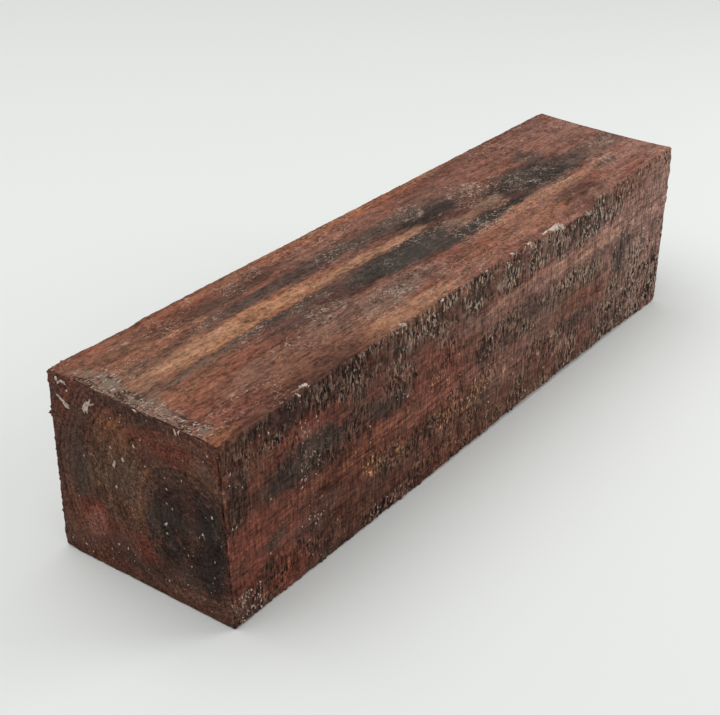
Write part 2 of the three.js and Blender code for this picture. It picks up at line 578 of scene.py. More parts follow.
@dataclass(frozen=True)
class Relief:
    """One layer of relief: noise that lifts or sinks the surface where its weights are.

    Attributes:
        name: What the layer is.
        depth: Its height from lowest to highest, in millimetres.
        spacing: The noise's size along the block, across it and up, in millimetres.
        octaves: How many finer layers of noise it holds.
        midlevel: The share of the noise that leaves the surface where it is.
        contrast: How much the noise is sharpened.
        direction: NORMAL, X, Y or Z.
    """

    name: str
    depth: float
    spacing: Triple | None = None
    octaves: int = 1
    midlevel: float = 0.5
    contrast: float = 1.0
    direction: str = "NORMAL"

    def apply(self, piece: bpy.types.Object, weights: np.ndarray) -> None:
        """Displaces the piece with a modifier, and applies it.

        Args:
            piece: The piece.
            weights: A share from 0 to 1 for each vertex.
        """
        group = piece.vertex_groups.new(name=self.name)
        for index in np.nonzero(weights > LEAST_WEIGHT)[0]:
            group.add([int(index)], float(weights[index]), "REPLACE")
        modifier = piece.modifiers.new(self.name, "DISPLACE")
        modifier.vertex_group = group.name
        modifier.strength = self.depth * MM
        modifier.mid_level = self.midlevel
        modifier.direction = self.direction
        if self.spacing:
            modifier.texture = self.noise()
            modifier.texture_coords = "OBJECT"
            modifier.texture_coords_object = self.ruler()
        select_only(piece)
        bpy.context.view_layer.update()
        bpy.ops.object.modifier_apply(modifier=modifier.name)
        piece.vertex_groups.remove(piece.vertex_groups[self.name])
        if self.spacing:
            bpy.data.objects.remove(bpy.data.objects[self.ruler_name()])

    def noise(self) -> bpy.types.Texture:
        """Makes the noise that the modifier reads."""
        texture = bpy.data.textures.new(self.name, "CLOUDS")
        texture.noise_scale = 1.0
        texture.noise_depth = self.octaves
        texture.contrast = self.contrast
        return texture

    def ruler_name(self) -> str:
        """The name of the empty that stretches the noise."""
        return self.name + "_ruler"

    def ruler(self) -> bpy.types.Object:
        """Makes the empty whose scale is the noise's spacing."""
        empty = bpy.data.objects.new(self.ruler_name(), None)
        bpy.context.scene.collection.objects.link(empty)
        empty.scale = Vector(self.spacing) * MM
        return empty


@dataclass(frozen=True)
class Dip:
    """Wood lost from a top arris. It deepens slowly along the block and ends at a short step.

    Attributes:
        start: Where it starts, in millimetres from the near end.
        deepest: Where it is deepest.
        end: Where it ends.
        depth: Its depth at the arris.
        reach: How far it reaches in from the arris over the top.
        foot: How far it reaches down the side.
        side: Which arris, -1 for the right one and 1 for the left one.
    """

    start: float
    deepest: float
    end: float
    depth: float
    reach: float
    foot: float
    side: int

    def weights(self, points: np.ndarray) -> np.ndarray:
        """How far each point sinks, as a share of the depth.

        Args:
            points: The points, in millimetres.

        Returns:
            Shares from 0 to 1.
        """
        along = points[:, 0] + LENGTH / 2
        growing = smoothstep(along, self.start, self.deepest)
        ending = smoothstep(along, self.end, self.deepest)
        from_arris = WIDTH / 2 - 1 - self.side * points[:, 1]
        inwards = smoothstep(from_arris, self.reach, 0.0)
        upwards = smoothstep(points[:, 2], HEIGHT - self.foot, HEIGHT - 1.0)
        return growing * ending * inwards * upwards


# How softly a rough patch ends along the block and down its side, in millimetres.
PATCH_FADE_ALONG = 6
PATCH_FADE_DOWN = 3


@dataclass(frozen=True)
class Patch(Area):
    """An area of a long side that the saw left rougher or smoother than the rest.

    Attributes:
        roughness: How much rougher it is, from -1 to 1.
        side: -1 for the right side and 1 for the left one.
    """

    roughness: float
    side: int = -1

    def weights(self, points: np.ndarray) -> np.ndarray:
        """What it adds to the roughness of each point.

        Args:
            points: The points, in millimetres.

        Returns:
            The roughness, which fades over its borders.
        """
        along, down = points[:, 0] + LENGTH / 2, HEIGHT - points[:, 2]
        lengthwise = window(along, self.start, self.end, PATCH_FADE_ALONG)
        upright = window(down, self.upper, self.lower, PATCH_FADE_DOWN)
        return self.roughness * lengthwise * upright * (points[:, 1] * self.side > 0)


# The right side's patches, and then the left side's. Millimetres from the near end and from the top.
PATCHES = (
    Patch(-20, 112, 35, 54, -0.45),
    Patch(14, 62, 14, 21, -0.25),
    Patch(52, 140, 56, 66, -0.35),
    Patch(192, 262, 38, 50, -0.35),
    Patch(240, 330, 8, 27, -0.5),
    Patch(138, 245, 17, 25, -0.4),
    Patch(98, 205, -5, 14, 0.75),
    Patch(200, 258, -5, 17, 0.8),
    Patch(20, 100, -5, 13, 0.5),
    Patch(148, 204, 27, 43, 0.3),
    Patch(204, 245, 29, 38, 0.25),
    Patch(254, 330, 29, 46, 0.5),
    Patch(250, 330, 48, 90, 0.5),
    Patch(90, 102, -5, 36, 0.45),
    Patch(-2, 12, 12, 38, 0.2),
    Patch(-10, 10, -5, 11, -0.3),
    Patch(36, 104, 20, 36, 0.25),
    Patch(72, 108, 66, 90, 0.4),
    Patch(108, 250, 60, 90, 0.3),
    Patch(-10, 60, 50, 66, 0.12),
    Patch(-10, 18, 64, 90, 0.45),
    Patch(36, 50, 8, 90, 0.3),
    Patch(74, 158, 45, 58, 0.6),
    Patch(178, 234, 48, 60, 0.6),
    Patch(-20, 130, 28, 44, -0.45, 1),
    Patch(150, 330, 2, 14, -0.4, 1),
    Patch(160, 330, 42, 54, -0.4, 1),
    Patch(10, 120, 2, 16, 0.5, 1),
    Patch(110, 200, 20, 38, 0.5, 1),
    Patch(190, 320, 58, 90, 0.5, 1),
    Patch(-20, 70, 58, 90, 0.5, 1),
)


@dataclass
class Block:
    """The sawn block itself, from a cube whose corners are moved and whose faces are roughened.

    Attributes:
        worn_width: How far the worn arrises reach over each face, in millimetres.
        worn_steps: How many steps round an arris has.
        worn_squareness: Its profile, from 0.5 for round to 1 for sharp.
        steps_up: How many steps the grid has up the sides.
        steps_across: How many it has across the top.
        stations: How often the block is divided along its length, and each of those steps again.
        end_depth: How far the finer grid of the ends reaches in from them, in millimetres.
        cup_depth: How far the top is cupped at the far end.
        even_roughness: How rough the saw left the sides all over, from 0 to 1.
        torn_roughness: How much more it tore them in patches.
        least_roughness: What is left of it in the smoothest patch.
        patch_size: The patches' size, in millimetres.
        corner_depth: How far the corners are worn.
        corner_reach: How far from a corner that starts, in millimetres along the edges.
        arch_height: How far the right side's foot stands off the floor, halfway along.
        seed: The seed of the torn patches.
        scallop: The wood lost from the right top arris.
        notch: The wood lost from the left top arris.
    """

    worn_width: float = 3.4
    worn_steps: int = 8
    worn_squareness: float = 0.94
    steps_up: int = 30
    steps_across: int = 16
    stations: tuple[int, int] = (75, 8)
    end_depth: float = 4.2
    cup_depth: float = 0.85
    even_roughness: float = 0.10
    torn_roughness: float = 0.5
    least_roughness: float = 0.03
    patch_size: float = 11.0
    corner_depth: float = 0.5
    corner_reach: float = 4.0
    arch_height: float = 1.2
    seed: int = 5
    scallop: Dip = Dip(160.0, 231.0, 236.0, 4.6, 9.0, 7.0, -1)
    notch: Dip = Dip(-30.0, 38.0, 44.0, 0.7, 6.0, 5.0, 1)

    def build(self) -> bpy.types.Object:
        """Makes the block.

        Returns:
            The finished piece, with its saw marks and its wear in attributes.
        """
        piece = self.sawn_box()
        self.divide(piece)
        self.shape_top(piece)
        self.saw(piece)
        self.wear(piece)
        bpy.ops.object.shade_smooth()
        return piece

    def sawn_box(self) -> bpy.types.Object:
        """A cube stretched to the blank, with each corner moved to where the saw left it."""
        deselect_all()
        bpy.ops.mesh.primitive_cube_add(size=1.0, location=(0, 0, 0))
        piece = bpy.context.active_object
        piece.name = piece.data.name = "sawn_block"
        with editing(piece):
            bpy.ops.mesh.select_all(action="SELECT")
            bpy.ops.transform.translate(value=(0, 0, 0.5))
            bpy.ops.transform.resize(
                value=(LENGTH * MM, WIDTH * MM, HEIGHT * MM), center_override=(0, 0, 0)
            )
            bpy.ops.mesh.select_mode(type="VERT")
            for corner, offset in CORNERS.items():
                self.move_corner(piece, corner, Vector(offset) * MM)
            bpy.ops.mesh.select_mode(type="EDGE")
            bpy.ops.mesh.select_all(action="SELECT")
            bpy.ops.mesh.bevel(
                offset=self.worn_width * MM,
                segments=self.worn_steps,
                profile=self.worn_squareness,
                affect="EDGES",
            )
        return piece

    def move_corner(
        self, piece: bpy.types.Object, corner: tuple[int, int, int], offset: Vector
    ) -> None:
        """Moves one corner of the cube. The piece is in edit mode.

        Args:
            piece: The block.
            corner: The corner's signs along, across and up.
            offset: How far it moves, in metres.
        """
        bpy.ops.mesh.select_all(action="DESELECT")
        shape = bmesh.from_edit_mesh(piece.data)
        middle = Vector((0, 0, HEIGHT * MM / 2))
        for vertex in shape.verts:
            signs = tuple(1 if part > 0 else -1 for part in vertex.co - middle)
            vertex.select_set(signs == corner)
        bmesh.update_edit_mesh(piece.data)
        bpy.ops.transform.translate(value=offset)

    def divide(self, piece: bpy.types.Object) -> None:
        """Cuts the faces into a grid that is fine enough for the saw's marks.

        Args:
            piece: The block.
        """
        with editing(piece):
            select_edges(piece, Axis.UP, HEIGHT * MM / 2)
            bpy.ops.mesh.subdivide(number_cuts=self.steps_up - 1)
            select_edges(piece, Axis.ACROSS, WIDTH * MM / 2)
            bpy.ops.mesh.subdivide(number_cuts=self.steps_across - 1)
            shortest = LENGTH * MM / 2
            for steps in self.stations:
                select_edges(piece, Axis.ALONG, shortest)
                bpy.ops.mesh.subdivide(number_cuts=steps - 1)
                shortest = LENGTH * MM / steps / 2
            for end, cuts in ((-1, 2), (1, 1)):
                self.select_end(piece, end)
                bpy.ops.mesh.subdivide(number_cuts=cuts)
        log.info("%s: %d faces before its relief", piece.name, len(piece.data.polygons))

    def select_end(self, piece: bpy.types.Object, end: int) -> None:
        """Selects the faces of one end and of the arrises round it. The piece is in edit mode.

        Args:
            piece: The block.
            end: -1 for the near end and 1 for the far one.
        """
        bpy.ops.mesh.select_all(action="DESELECT")
        shape = bmesh.from_edit_mesh(piece.data)
        border = (LENGTH / 2 - self.end_depth) * MM
        for face in shape.faces:
            face.select_set(end * face.calc_center_median().x > border)
        bmesh.update_edit_mesh(piece.data)

    def shape_top(self, piece: bpy.types.Object) -> None:
        """Sinks the scallop, the notch and the cup of the top.

        Args:
            piece: The block.
        """
        points = read_points(piece) / MM
        for name, dip in (("scallop", self.scallop), ("notch", self.notch)):
            Relief(name, -dip.depth, midlevel=0.0, direction="Z").apply(piece, dip.weights(points))
        across = points[:, 1] / (WIDTH / 2)
        cup = np.clip(1.0 - across**2, 0, 1) * smoothstep(points[:, 0], 20.0, LENGTH / 2)
        high = smoothstep(points[:, 2], HEIGHT - 3.0, HEIGHT - 1.0)
        Relief("cup", -self.cup_depth, midlevel=0.0, direction="Z").apply(piece, cup * high)

    def saw(self, piece: bpy.types.Object) -> None:
        """Cuts the saw's ridges across the sides and roughens the ends and the top.

        Args:
            piece: The block.
        """
        points = read_points(piece) / MM
        normals = np.abs(read_points(piece, "normal"))
        side = smoothstep(normals[:, 1], 0.55, 0.95)
        top = smoothstep(normals[:, 2], 0.8, 0.98) * (points[:, 2] > HEIGHT / 2)
        end = smoothstep(normals[:, 0], 0.55, 0.95)
        roughness = self.even_roughness + self.torn_roughness * self.patches(points)
        roughness = roughness + sum(patch.weights(points) for patch in PATCHES)
        strength = np.clip(roughness, self.least_roughness, 1)
        sawn = side * strength
        scratched = side * (0.3 + 0.7 * strength)

        before = read_points(piece)
        Relief("saw_ridges", depth=1.25, spacing=(1.3, 60.0, 6.5)).apply(piece, sawn)
        Relief("saw_waves", depth=0.55, spacing=(7.0, 60.0, 30.0)).apply(piece, sawn)
        Relief("saw_scratches", depth=0.6, spacing=(1.1, 60.0, 2.8), octaves=0).apply(piece, scratched)
        Relief("top_fibres", depth=0.22, spacing=(16.0, 2.2, 10.0), octaves=2).apply(piece, top)
        Relief("top_waves", depth=0.35, spacing=(24.0, 14.0, 10.0)).apply(piece, top)
        Relief("end_grain", depth=0.55, spacing=(60.0, 2.0, 2.4), octaves=2).apply(piece, end)
        moved = read_points(piece) - before
        height = np.linalg.norm(moved, axis=1) / MM
        outwards = np.sign(np.sum(moved * read_points(piece, "normal"), axis=1))
        write_attribute(piece, "relief", height * outwards)
        write_attribute(piece, "sawn", sawn)

    def patches(self, points: np.ndarray) -> np.ndarray:
        """Where the saw tore the wood more, in patches about as large as patch_size.

        Args:
            points: The points, in millimetres.

        Returns:
            Shares from 0 to 1.
        """
        # One random height for each patch. The two sides read rows of their own.
        grid = np.random.default_rng(self.seed).random((64, 24))
        along = (points[:, 0] + LENGTH) / self.patch_size
        up = points[:, 2] / self.patch_size + 2 + 8 * (points[:, 1] > 0)
        column, row = along.astype(int), up.astype(int)
        along_share, up_share = smoothstep(along - column, 0, 1), smoothstep(up - row, 0, 1)
        low = grid[column, row] * (1 - along_share) + grid[column + 1, row] * along_share
        high = grid[column, row + 1] * (1 - along_share) + grid[column + 1, row + 1] * along_share
        return smoothstep(low * (1 - up_share) + high * up_share, 0.15, 0.85)

    def wear(self, piece: bpy.types.Object) -> None:
        """Chips and rounds the arrises and the corners.

        Args:
            piece: The block.
        """
        points = read_points(piece) / MM
        normals = np.abs(read_points(piece, "normal"))

        # Where each kind of wear is. Each share fades over a few millimetres.
        along, across, up = points.T
        from_faces = ((LENGTH, WIDTH, HEIGHT) - 2 * np.abs(points - (0, 0, HEIGHT / 2))) / 2
        corner = smoothstep(np.clip(from_faces, 0, None).sum(axis=1), self.corner_reach, 0.5)
        arris = smoothstep(normals.max(axis=1), 0.985, 0.80) * (1 - corner)
        near = smoothstep(along, -LENGTH / 2 + 6.0, -LENGTH / 2 + 2.0)
        far = smoothstep(along, LENGTH / 2 - 6.0, LENGTH / 2 - 2.0)
        top = smoothstep(up, HEIGHT / 2, HEIGHT / 2 + 5)
        base = smoothstep(up, 6.0, 3.0)
        right_top = top * smoothstep(across, 0.0, -5.0)
        left_top = top * smoothstep(across, 0.0, 5.0) * (1 - near)
        upright = smoothstep(normals[:, 2], 0.6, 0.2)
        foot = smoothstep(across, -WIDTH / 2 + 7.0, -WIDTH / 2 + 1.0) * base
        halfway = smoothstep(along, -60.0, 30.0) * smoothstep(along, 152.0, 110.0)

        write_attribute(piece, "worn", arris)
        nicked = arris * (1 - 0.8 * left_top) * (1 - 0.5 * far)
        chipped = arris * np.clip(0.12 * top + 0.60 * right_top + 0.3 * upright * (1 - 0.7 * far), 0, 1)
        bitten = arris * near * (top + 0.6)
        Relief("corner_wear", -self.corner_depth, midlevel=0.0).apply(piece, corner)
        Relief("base_arch", self.arch_height, midlevel=0.0, direction="Z").apply(piece, foot * halfway)
        Relief("arris_nicks", depth=1.2, spacing=(1.3, 1.3, 1.3), midlevel=0.62).apply(piece, nicked)
        Relief("arris_chips", depth=1.7, spacing=(6.0, 5.0, 5.0), midlevel=0.70, contrast=1.7).apply(
            piece, chipped
        )
        Relief("near_bites", depth=2.3, spacing=(1.5, 1.7, 1.7), midlevel=0.66, contrast=1.6).apply(
            piece, bitten
        )
        Relief("base_splinters", 1.0, (5.0, 3.0, 3.0), octaves=2, midlevel=0.66, contrast=1.4).apply(
            piece, arris * base
        )
        self.flatten_base(piece)

    def flatten_base(self, piece: bpy.types.Object) -> None:
        """Lifts what stands below the floor up to it.

        Args:
            piece: The block.
        """
        deepest = 1.0
        sunk = np.clip(-read_points(piece)[:, 2] / MM / deepest, 0, 1)
        Relief("flat_base", depth=deepest, midlevel=0.0, direction="Z").apply(piece, sunk)


class Value:
    """A number that a shader node gives, which Python's arithmetic adds Math nodes to."""

    def __init__(self, board: "Board", socket: bpy.types.NodeSocket) -> None:
        """Wraps a socket.

        Args:
            board: The material's nodes.
            socket: The output that gives the number.
        """
        self.board = board
        self.socket = socket

    def __add__(self, other: Number) -> "Value":
        """This number plus another."""
        return self.board.math("ADD", self, other)

    def __radd__(self, other: float) -> "Value":
        """A plain number plus this one."""
        return self.board.math("ADD", other, self)

    def __sub__(self, other: Number) -> "Value":
        """This number less another."""
        return self.board.math("SUBTRACT", self, other)

    def __rsub__(self, other: float) -> "Value":
        """A plain number less this one."""
        return self.board.math("SUBTRACT", other, self)

    def __mul__(self, other: Number) -> "Value":
        """This number times another."""
        return self.board.math("MULTIPLY", self, other)

    def __rmul__(self, other: float) -> "Value":
        """A plain number times this one."""
        return self.board.math("MULTIPLY", other, self)

    def __truediv__(self, other: Number) -> "Value":
        """This number over another."""
        return self.board.math("DIVIDE", self, other)

    def ramp(self, low: float, high: float, smooth: bool = True) -> "Value":
        """Rises from 0 at low to 1 at high. Where low is above high, it falls.

        Args:
            low: Where it is 0.
            high: Where it is 1.
            smooth: Whether it eases in and out.

        Returns:
            The share.
        """
        if low > high:
            return 1.0 - self.ramp(high, low, smooth)
        settings = {"interpolation_type": "SMOOTHSTEP" if smooth else "LINEAR", "clamp": True}
        inputs = {"Value": self, "From Min": low, "From Max": high}
        return self.board.value(self.board.node("ShaderNodeMapRange", settings, inputs), "Result")


class Board:
    """The nodes of one material, with short ways to add to them."""

    def __init__(self, name: str) -> None:
        """Starts an empty material.

        Args:
            name: The material's name.
        """
        self.material = bpy.data.materials.new(name)
        self.material.use_nodes = True
        self.tree = self.material.node_tree
        self.tree.nodes.clear()

    def node(self, kind: str, settings: dict | None = None, inputs: dict | None = None) -> bpy.types.Node:
        """Adds a node.

        Args:
            kind: Its type.
            settings: Its settings, such as a Math node's operation, or a ramp's stops.
            inputs: What goes into each socket, by its name or number: a value or another's output.

        Returns:
            The node.
        """
        added = self.tree.nodes.new(kind)
        for name, setting in (settings or {}).items():
            if name == "stops":
                self.set_stops(added.color_ramp, setting)
            else:
                setattr(added, name, setting)
        for name, given in (inputs or {}).items():
            socket = added.inputs[name]
            if isinstance(given, Value):
                self.tree.links.new(given.socket, socket)
            elif isinstance(given, bpy.types.NodeSocket):
                self.tree.links.new(given, socket)
            elif isinstance(given, (tuple, list)) and socket.type == "RGBA":
                socket.default_value = (*given, 1.0)
            else:
                socket.default_value = given
        return added

    @staticmethod
    def set_stops(ramp: bpy.types.ColorRamp, stops: tuple[tuple[float, Colour], ...]) -> None:
        """Sets a ramp's stops.

        Args:
            ramp: The ramp.
            stops: A place and a colour for each.
        """
        while len(ramp.elements) < len(stops):
            ramp.elements.new(1.0)
        for element, (place, colour) in zip(ramp.elements, stops):
            element.position = place
            element.color = (*colour, 1.0)

    def value(self, node: bpy.types.Node, output: str | int = 0) -> Value:
        """A node's output as a number for arithmetic."""
        return Value(self, node.outputs[output])

    def math(self, operation: str, first: Number, second: Number = 0.0) -> Value:
        """Adds a Math node."""
        return self.value(self.node("ShaderNodeMath", {"operation": operation}, {0: first, 1: second}))

    def millimetres(self) -> bpy.types.NodeSocket:
        """The point of the piece, in millimetres."""
        place = self.vector("SCALE", self.node("ShaderNodeTexCoord").outputs["Object"])
        place.node.inputs["Scale"].default_value = 1.0 / MM
        return place

    def attribute(self, name: str) -> Value:
        """A number that the mesh keeps at each vertex."""
        return self.value(self.node("ShaderNodeAttribute", {"attribute_name": name}), "Fac")

    def vector(self, operation: str, *terms: object) -> bpy.types.NodeSocket:
        """Adds a Vector Math node.

        Args:
            operation: What it does.
            terms: Vectors, or outputs that give them.

        Returns:
            The vector that it gives.
        """
        node = self.node("ShaderNodeVectorMath", {"operation": operation}, dict(enumerate(terms)))
        return node.outputs["Vector"]

    def length(self, vector: bpy.types.NodeSocket) -> Value:
        """The length of a vector."""
        node = self.node("ShaderNodeVectorMath", {"operation": "LENGTH"}, {0: vector})
        return self.value(node, "Value")

    def parts(self, vector: bpy.types.NodeSocket) -> tuple[Value, Value, Value]:
        """A vector's three numbers."""
        node = self.node("ShaderNodeSeparateXYZ", None, {0: vector})
        return self.value(node, 0), self.value(node, 1), self.value(node, 2)

    def combine(self, x: Number, y: Number, z: Number) -> bpy.types.NodeSocket:
        """A vector from three numbers."""
        return self.node("ShaderNodeCombineXYZ", None, {0: x, 1: y, 2: z}).outputs[0]

    def noise(
        self, place: bpy.types.NodeSocket, spacing: Triple, detail: float = 2.0, roughness: float = 0.5
    ) -> bpy.types.Node:
        """Adds noise whose size differs along the block, across it and up.

        Args:
            place: The place, in millimetres.
            spacing: The noise's size in each direction, in millimetres.
            detail: How many finer layers it holds.
            roughness: How strong those are.

        Returns:
            The node, with Fac and Color outputs.
        """
        scaled = self.vector("MULTIPLY", place, tuple(1.0 / size for size in spacing))
        inputs = {"Vector": scaled, "Scale": 1.0, "Detail": detail, "Roughness": roughness}
        return self.node("ShaderNodeTexNoise", None, inputs)

    def fleck(
        self, place: bpy.types.NodeSocket, spacing: Triple, detail: float = 2.0, distortion: float = 0.0
    ) -> Value:
        """The same noise as a number, mostly from 0.3 to 0.7, and curled if it is distorted."""
        node = self.noise(place, spacing, detail)
        node.inputs["Distortion"].default_value = distortion
        return self.value(node, "Fac")

    def graded(
        self, place: bpy.types.NodeSocket, spacing: Triple, detail: float = 2.0, distortion: float = 0.0,
        spread: float = 0.16,
    ) -> Value:
        """The same number, stretched to run evenly from 0 to 1.

        Args:
            place: The place, in millimetres.
            spacing: The noise's size in each direction, in millimetres.
            detail: How many finer layers it holds.
            distortion: How much it is curled.
            spread: How far from 0.5 the number is where it becomes 0 or 1.

        Returns:
            The share.
        """
        number = self.fleck(place, spacing, detail, distortion)
        return number.ramp(0.5 - spread, 0.5 + spread, smooth=False)

    def tinted(self, share: Value, stops: tuple[tuple[float, Colour], ...]) -> bpy.types.NodeSocket:
        """The colour that a share has between stops."""
        return self.node("ShaderNodeValToRGB", {"stops": stops}, {"Fac": share}).outputs["Color"]

    def bump(self, strength: float, depth: float, height: Value) -> bpy.types.NodeSocket:
        """A normal for relief that is too fine for the mesh, with its depth in millimetres."""
        inputs = {"Strength": strength, "Distance": depth * MM, "Height": height}
        return self.node("ShaderNodeBump", None, inputs).outputs[0]

    def mix(self, share: Number, first: object, second: object, blend: str = "MIX") -> bpy.types.NodeSocket:
        """Mixes two colours.

        Args:
            share: How much of the second shows.
            first: A colour or an output that gives one.
            second: The other.
            blend: The way of mixing.

        Returns:
            The mixed colour.
        """
        settings = {"data_type": "RGBA", "blend_type": blend}
        node = self.node("ShaderNodeMix", settings, {"Factor": share, 6: first, 7: second})
        return node.outputs[2]

    def shade(self, colour: bpy.types.NodeSocket, amount: Value) -> bpy.types.NodeSocket:
        """Multiplies a colour by a number."""
        return self.mix(1.0, colour, self.combine(amount, amount, amount), "MULTIPLY")

    def finish(self, **inputs: object) -> bpy.types.Material:
        """Adds the surface shader and the output.

        Args:
            inputs: The shader's sockets, with an underscore for each space.

        Returns:
            The material.
        """
        named = {name.replace("_", " "): given for name, given in inputs.items()}
        shader = self.node("ShaderNodeBsdfPrincipled", None, named)
        self.node("ShaderNodeOutputMaterial", None, {"Surface": shader.outputs[0]})
        return self.material


@dataclass(frozen=True)
class Surface:
    """What the wood's finish reads at each point of the block.

    Attributes:
        place: The point, in millimetres.
        bent: The same point, moved so that the figure wanders.
        on_top: 1 on the top and the base.
        on_side: 1 on the long sides.
        on_end: 1 on the ends.
        relief: How far the saw's marks stand out there, in millimetres.
        sawn: How rough the saw left it.
        worn: 1 on the worn arrises.
    """

    place: bpy.types.NodeSocket
    bent: bpy.types.NodeSocket
    on_top: Value
    on_side: Value
    on_end: Value
    relief: Value
    sawn: Value
    worn: Value


# The saw's scratches and the tears between them on the long sides: their size along the block, across
# it and up, in millimetres, and how much a tear is curled.
SCRATCH_SIZE = (1.25, 40.0, 7.0)
TEAR_SIZE = (1.1, 40.0, 3.4)
TEAR_CURL = 0.7


@dataclass(frozen=True)
class WaxedHeartwood:
    """The wood's finish: streaked heartwood, saw marks with painted shade in their valleys and painted
    highlights on their tips, and a film of wax with flecks.

    Attributes:
        pith: Where the rings are centred, across and up, in millimetres.
        streak_edge: How softly a streak ends, as a share of its size.
        broad_wander: How far the streaks wander as a whole, in millimetres along, across and up.
        fine_wander: How far their borders are frayed.
        band_gap: How far apart the bands of the figure lie round the pith, in millimetres.
        ring_gap: How far apart the fine growth rings lie.
        rubbed_and_lit_share: How much of an arris is lightened: partly rubbed wear, partly painted
            highlight.
        film_border: How far from the near end the brushed wax on the top is gone, and where it is whole.
        roughness: The roughness of the waxed wood.
        gloss: How strongly it reflects.
        bump_strength: How strongly the finest relief shows.
        bump_depth: Its depth, in millimetres.
    """

    pith: tuple[float, float] = (-23.0, 37.0)
    streak_edge: float = 0.34
    broad_wander: Triple = (26.0, 8.0, 8.0)
    fine_wander: Triple = (20.0, 8.5, 8.5)
    band_gap: float = 8.5
    ring_gap: float = 2.0
    rubbed_and_lit_share: float = 0.6
    film_border: tuple[float, float] = (9.0, 5.5)
    roughness: float = 0.52
    gloss: float = 0.03
    bump_strength: float = 0.9
    bump_depth: float = 0.6

    def build(self) -> bpy.types.Material:
        """Makes the material."""
        board = Board("waxed_heartwood")
        place = board.millimetres()
        facing = board.node("ShaderNodeTexCoord").outputs["Normal"]
        normal = board.parts(board.vector("ABSOLUTE", facing))
        surface = Surface(
            place=place,
            bent=self.bend(board, place),
            on_top=normal[2].ramp(0.6, 0.9),
            on_side=normal[1].ramp(0.5, 0.8),
            on_end=normal[0].ramp(0.5, 0.8),
            relief=board.attribute("relief"),
            sawn=board.attribute("sawn"),
            worn=board.attribute("worn"),
        )
        plain = self.figure(board, surface)
        specks, holes = self.specks(board, surface), self.holes(board, surface)
        long_faces = ((Face.TOP, TOP_STREAKS), (Face.SIDE, SIDE_STREAKS), (Face.BACK, BACK_STREAKS))
        ends = ((Face.END, END_STREAKS), (Face.FAR_END, FAR_END_STREAKS))
        on_length = self.paint(board, surface, plain, long_faces, specks, holes)
        on_ends = self.paint(board, surface, plain, ends, specks, holes)
        colour = board.mix(surface.on_end, on_length, on_ends)
        colour = self.grain(board, surface, colour)
        colour = self.saw_marks(board, surface, colour)
        # Arrises lightened in patches: partly rubbed wear, partly painted highlight.
        rubbed_and_lit = board.fleck(place, (7.0, 4.0, 4.0), 3.0).ramp(0.38, 0.62) * surface.worn
        colour = board.mix(rubbed_and_lit * self.rubbed_and_lit_share, colour, Tone.ROSE.value)
        colour, wax = self.wax(board, surface, colour)
        normal = board.bump(self.bump_strength, self.bump_depth, self.fine_height(board, surface))
        rough = self.roughness + wax * 0.2 + board.fleck(place, (9.0, 3.0, 3.0)) * 0.16 - 0.08
        return board.finish(
            Base_Color=colour, Roughness=rough, Normal=normal, Specular_IOR_Level=self.gloss
        )

    def bend(self, board: Board, place: bpy.types.NodeSocket) -> bpy.types.NodeSocket:
        """Bends the places where the figure is read, so that its streaks wander and fray."""
        broad = board.noise(place, (70.0, 26.0, 26.0), 2.0).outputs["Color"]
        fine = board.noise(place, (9.0, 2.0, 2.0), 4.0, 0.62).outputs["Color"]
        middle = (-0.5, -0.5, -0.5)
        broad_shift = board.vector("MULTIPLY", board.vector("ADD", broad, middle), self.broad_wander)
        fine_shift = board.vector("MULTIPLY", board.vector("ADD", fine, middle), self.fine_wander)
        return board.vector("ADD", board.vector("ADD", place, broad_shift), fine_shift)

    def figure(self, board: Board, surface: Surface) -> bpy.types.NodeSocket:
        """The wood's own figure: bands that follow the rings round the pith."""
        from_pith = board.vector("SUBTRACT", surface.bent, (0.0, *self.pith))
        radius = board.length(board.vector("MULTIPLY", from_pith, (0.0, 1.0, 1.0)))
        along, across, up = board.parts(surface.bent)
        rings = board.combine(along / 190.0, radius / self.band_gap, (across + up) / 60.0)
        inputs = {"Vector": rings, "Scale": 1.0, "Detail": 4.0, "Roughness": 0.6}
        band = board.value(board.node("ShaderNodeTexNoise", None, inputs), "Fac")
        stops = (
            (0.30, Tone.DARK_BROWN.value),
            (0.43, Tone.BROWN.value),
            (0.52, Tone.RED_BROWN.value),
            (0.62, Tone.ROSE.value),
            (0.72, Tone.ORANGE.value),
        )
        return board.tinted(band, stops)

    def specks(self, board: Board, surface: Surface) -> Value:
        """Where a speckled streak shows: curls of two sizes, in clumps."""
        clumps = board.fleck(surface.place, (7.0, 6.0, 6.0), 2.0).ramp(0.42, 0.56)
        small = board.fleck(surface.place, (1.5, 1.6, 3.0), 3.0, 1.2).ramp(0.55, 0.61)
        large = board.fleck(surface.place, (2.8, 2.1, 3.9), 4.0, 2.2).ramp(0.57, 0.62)
        return (small + large) * clumps

    def holes(self, board: Board, surface: Surface) -> Value:
        """Where a speckled streak of the near-black gap tone shows: painted shade in holes."""
        return board.fleck(surface.place, (1.25, 1.45, 3.4), 2.0, 1.2).ramp(0.52, 0.58)

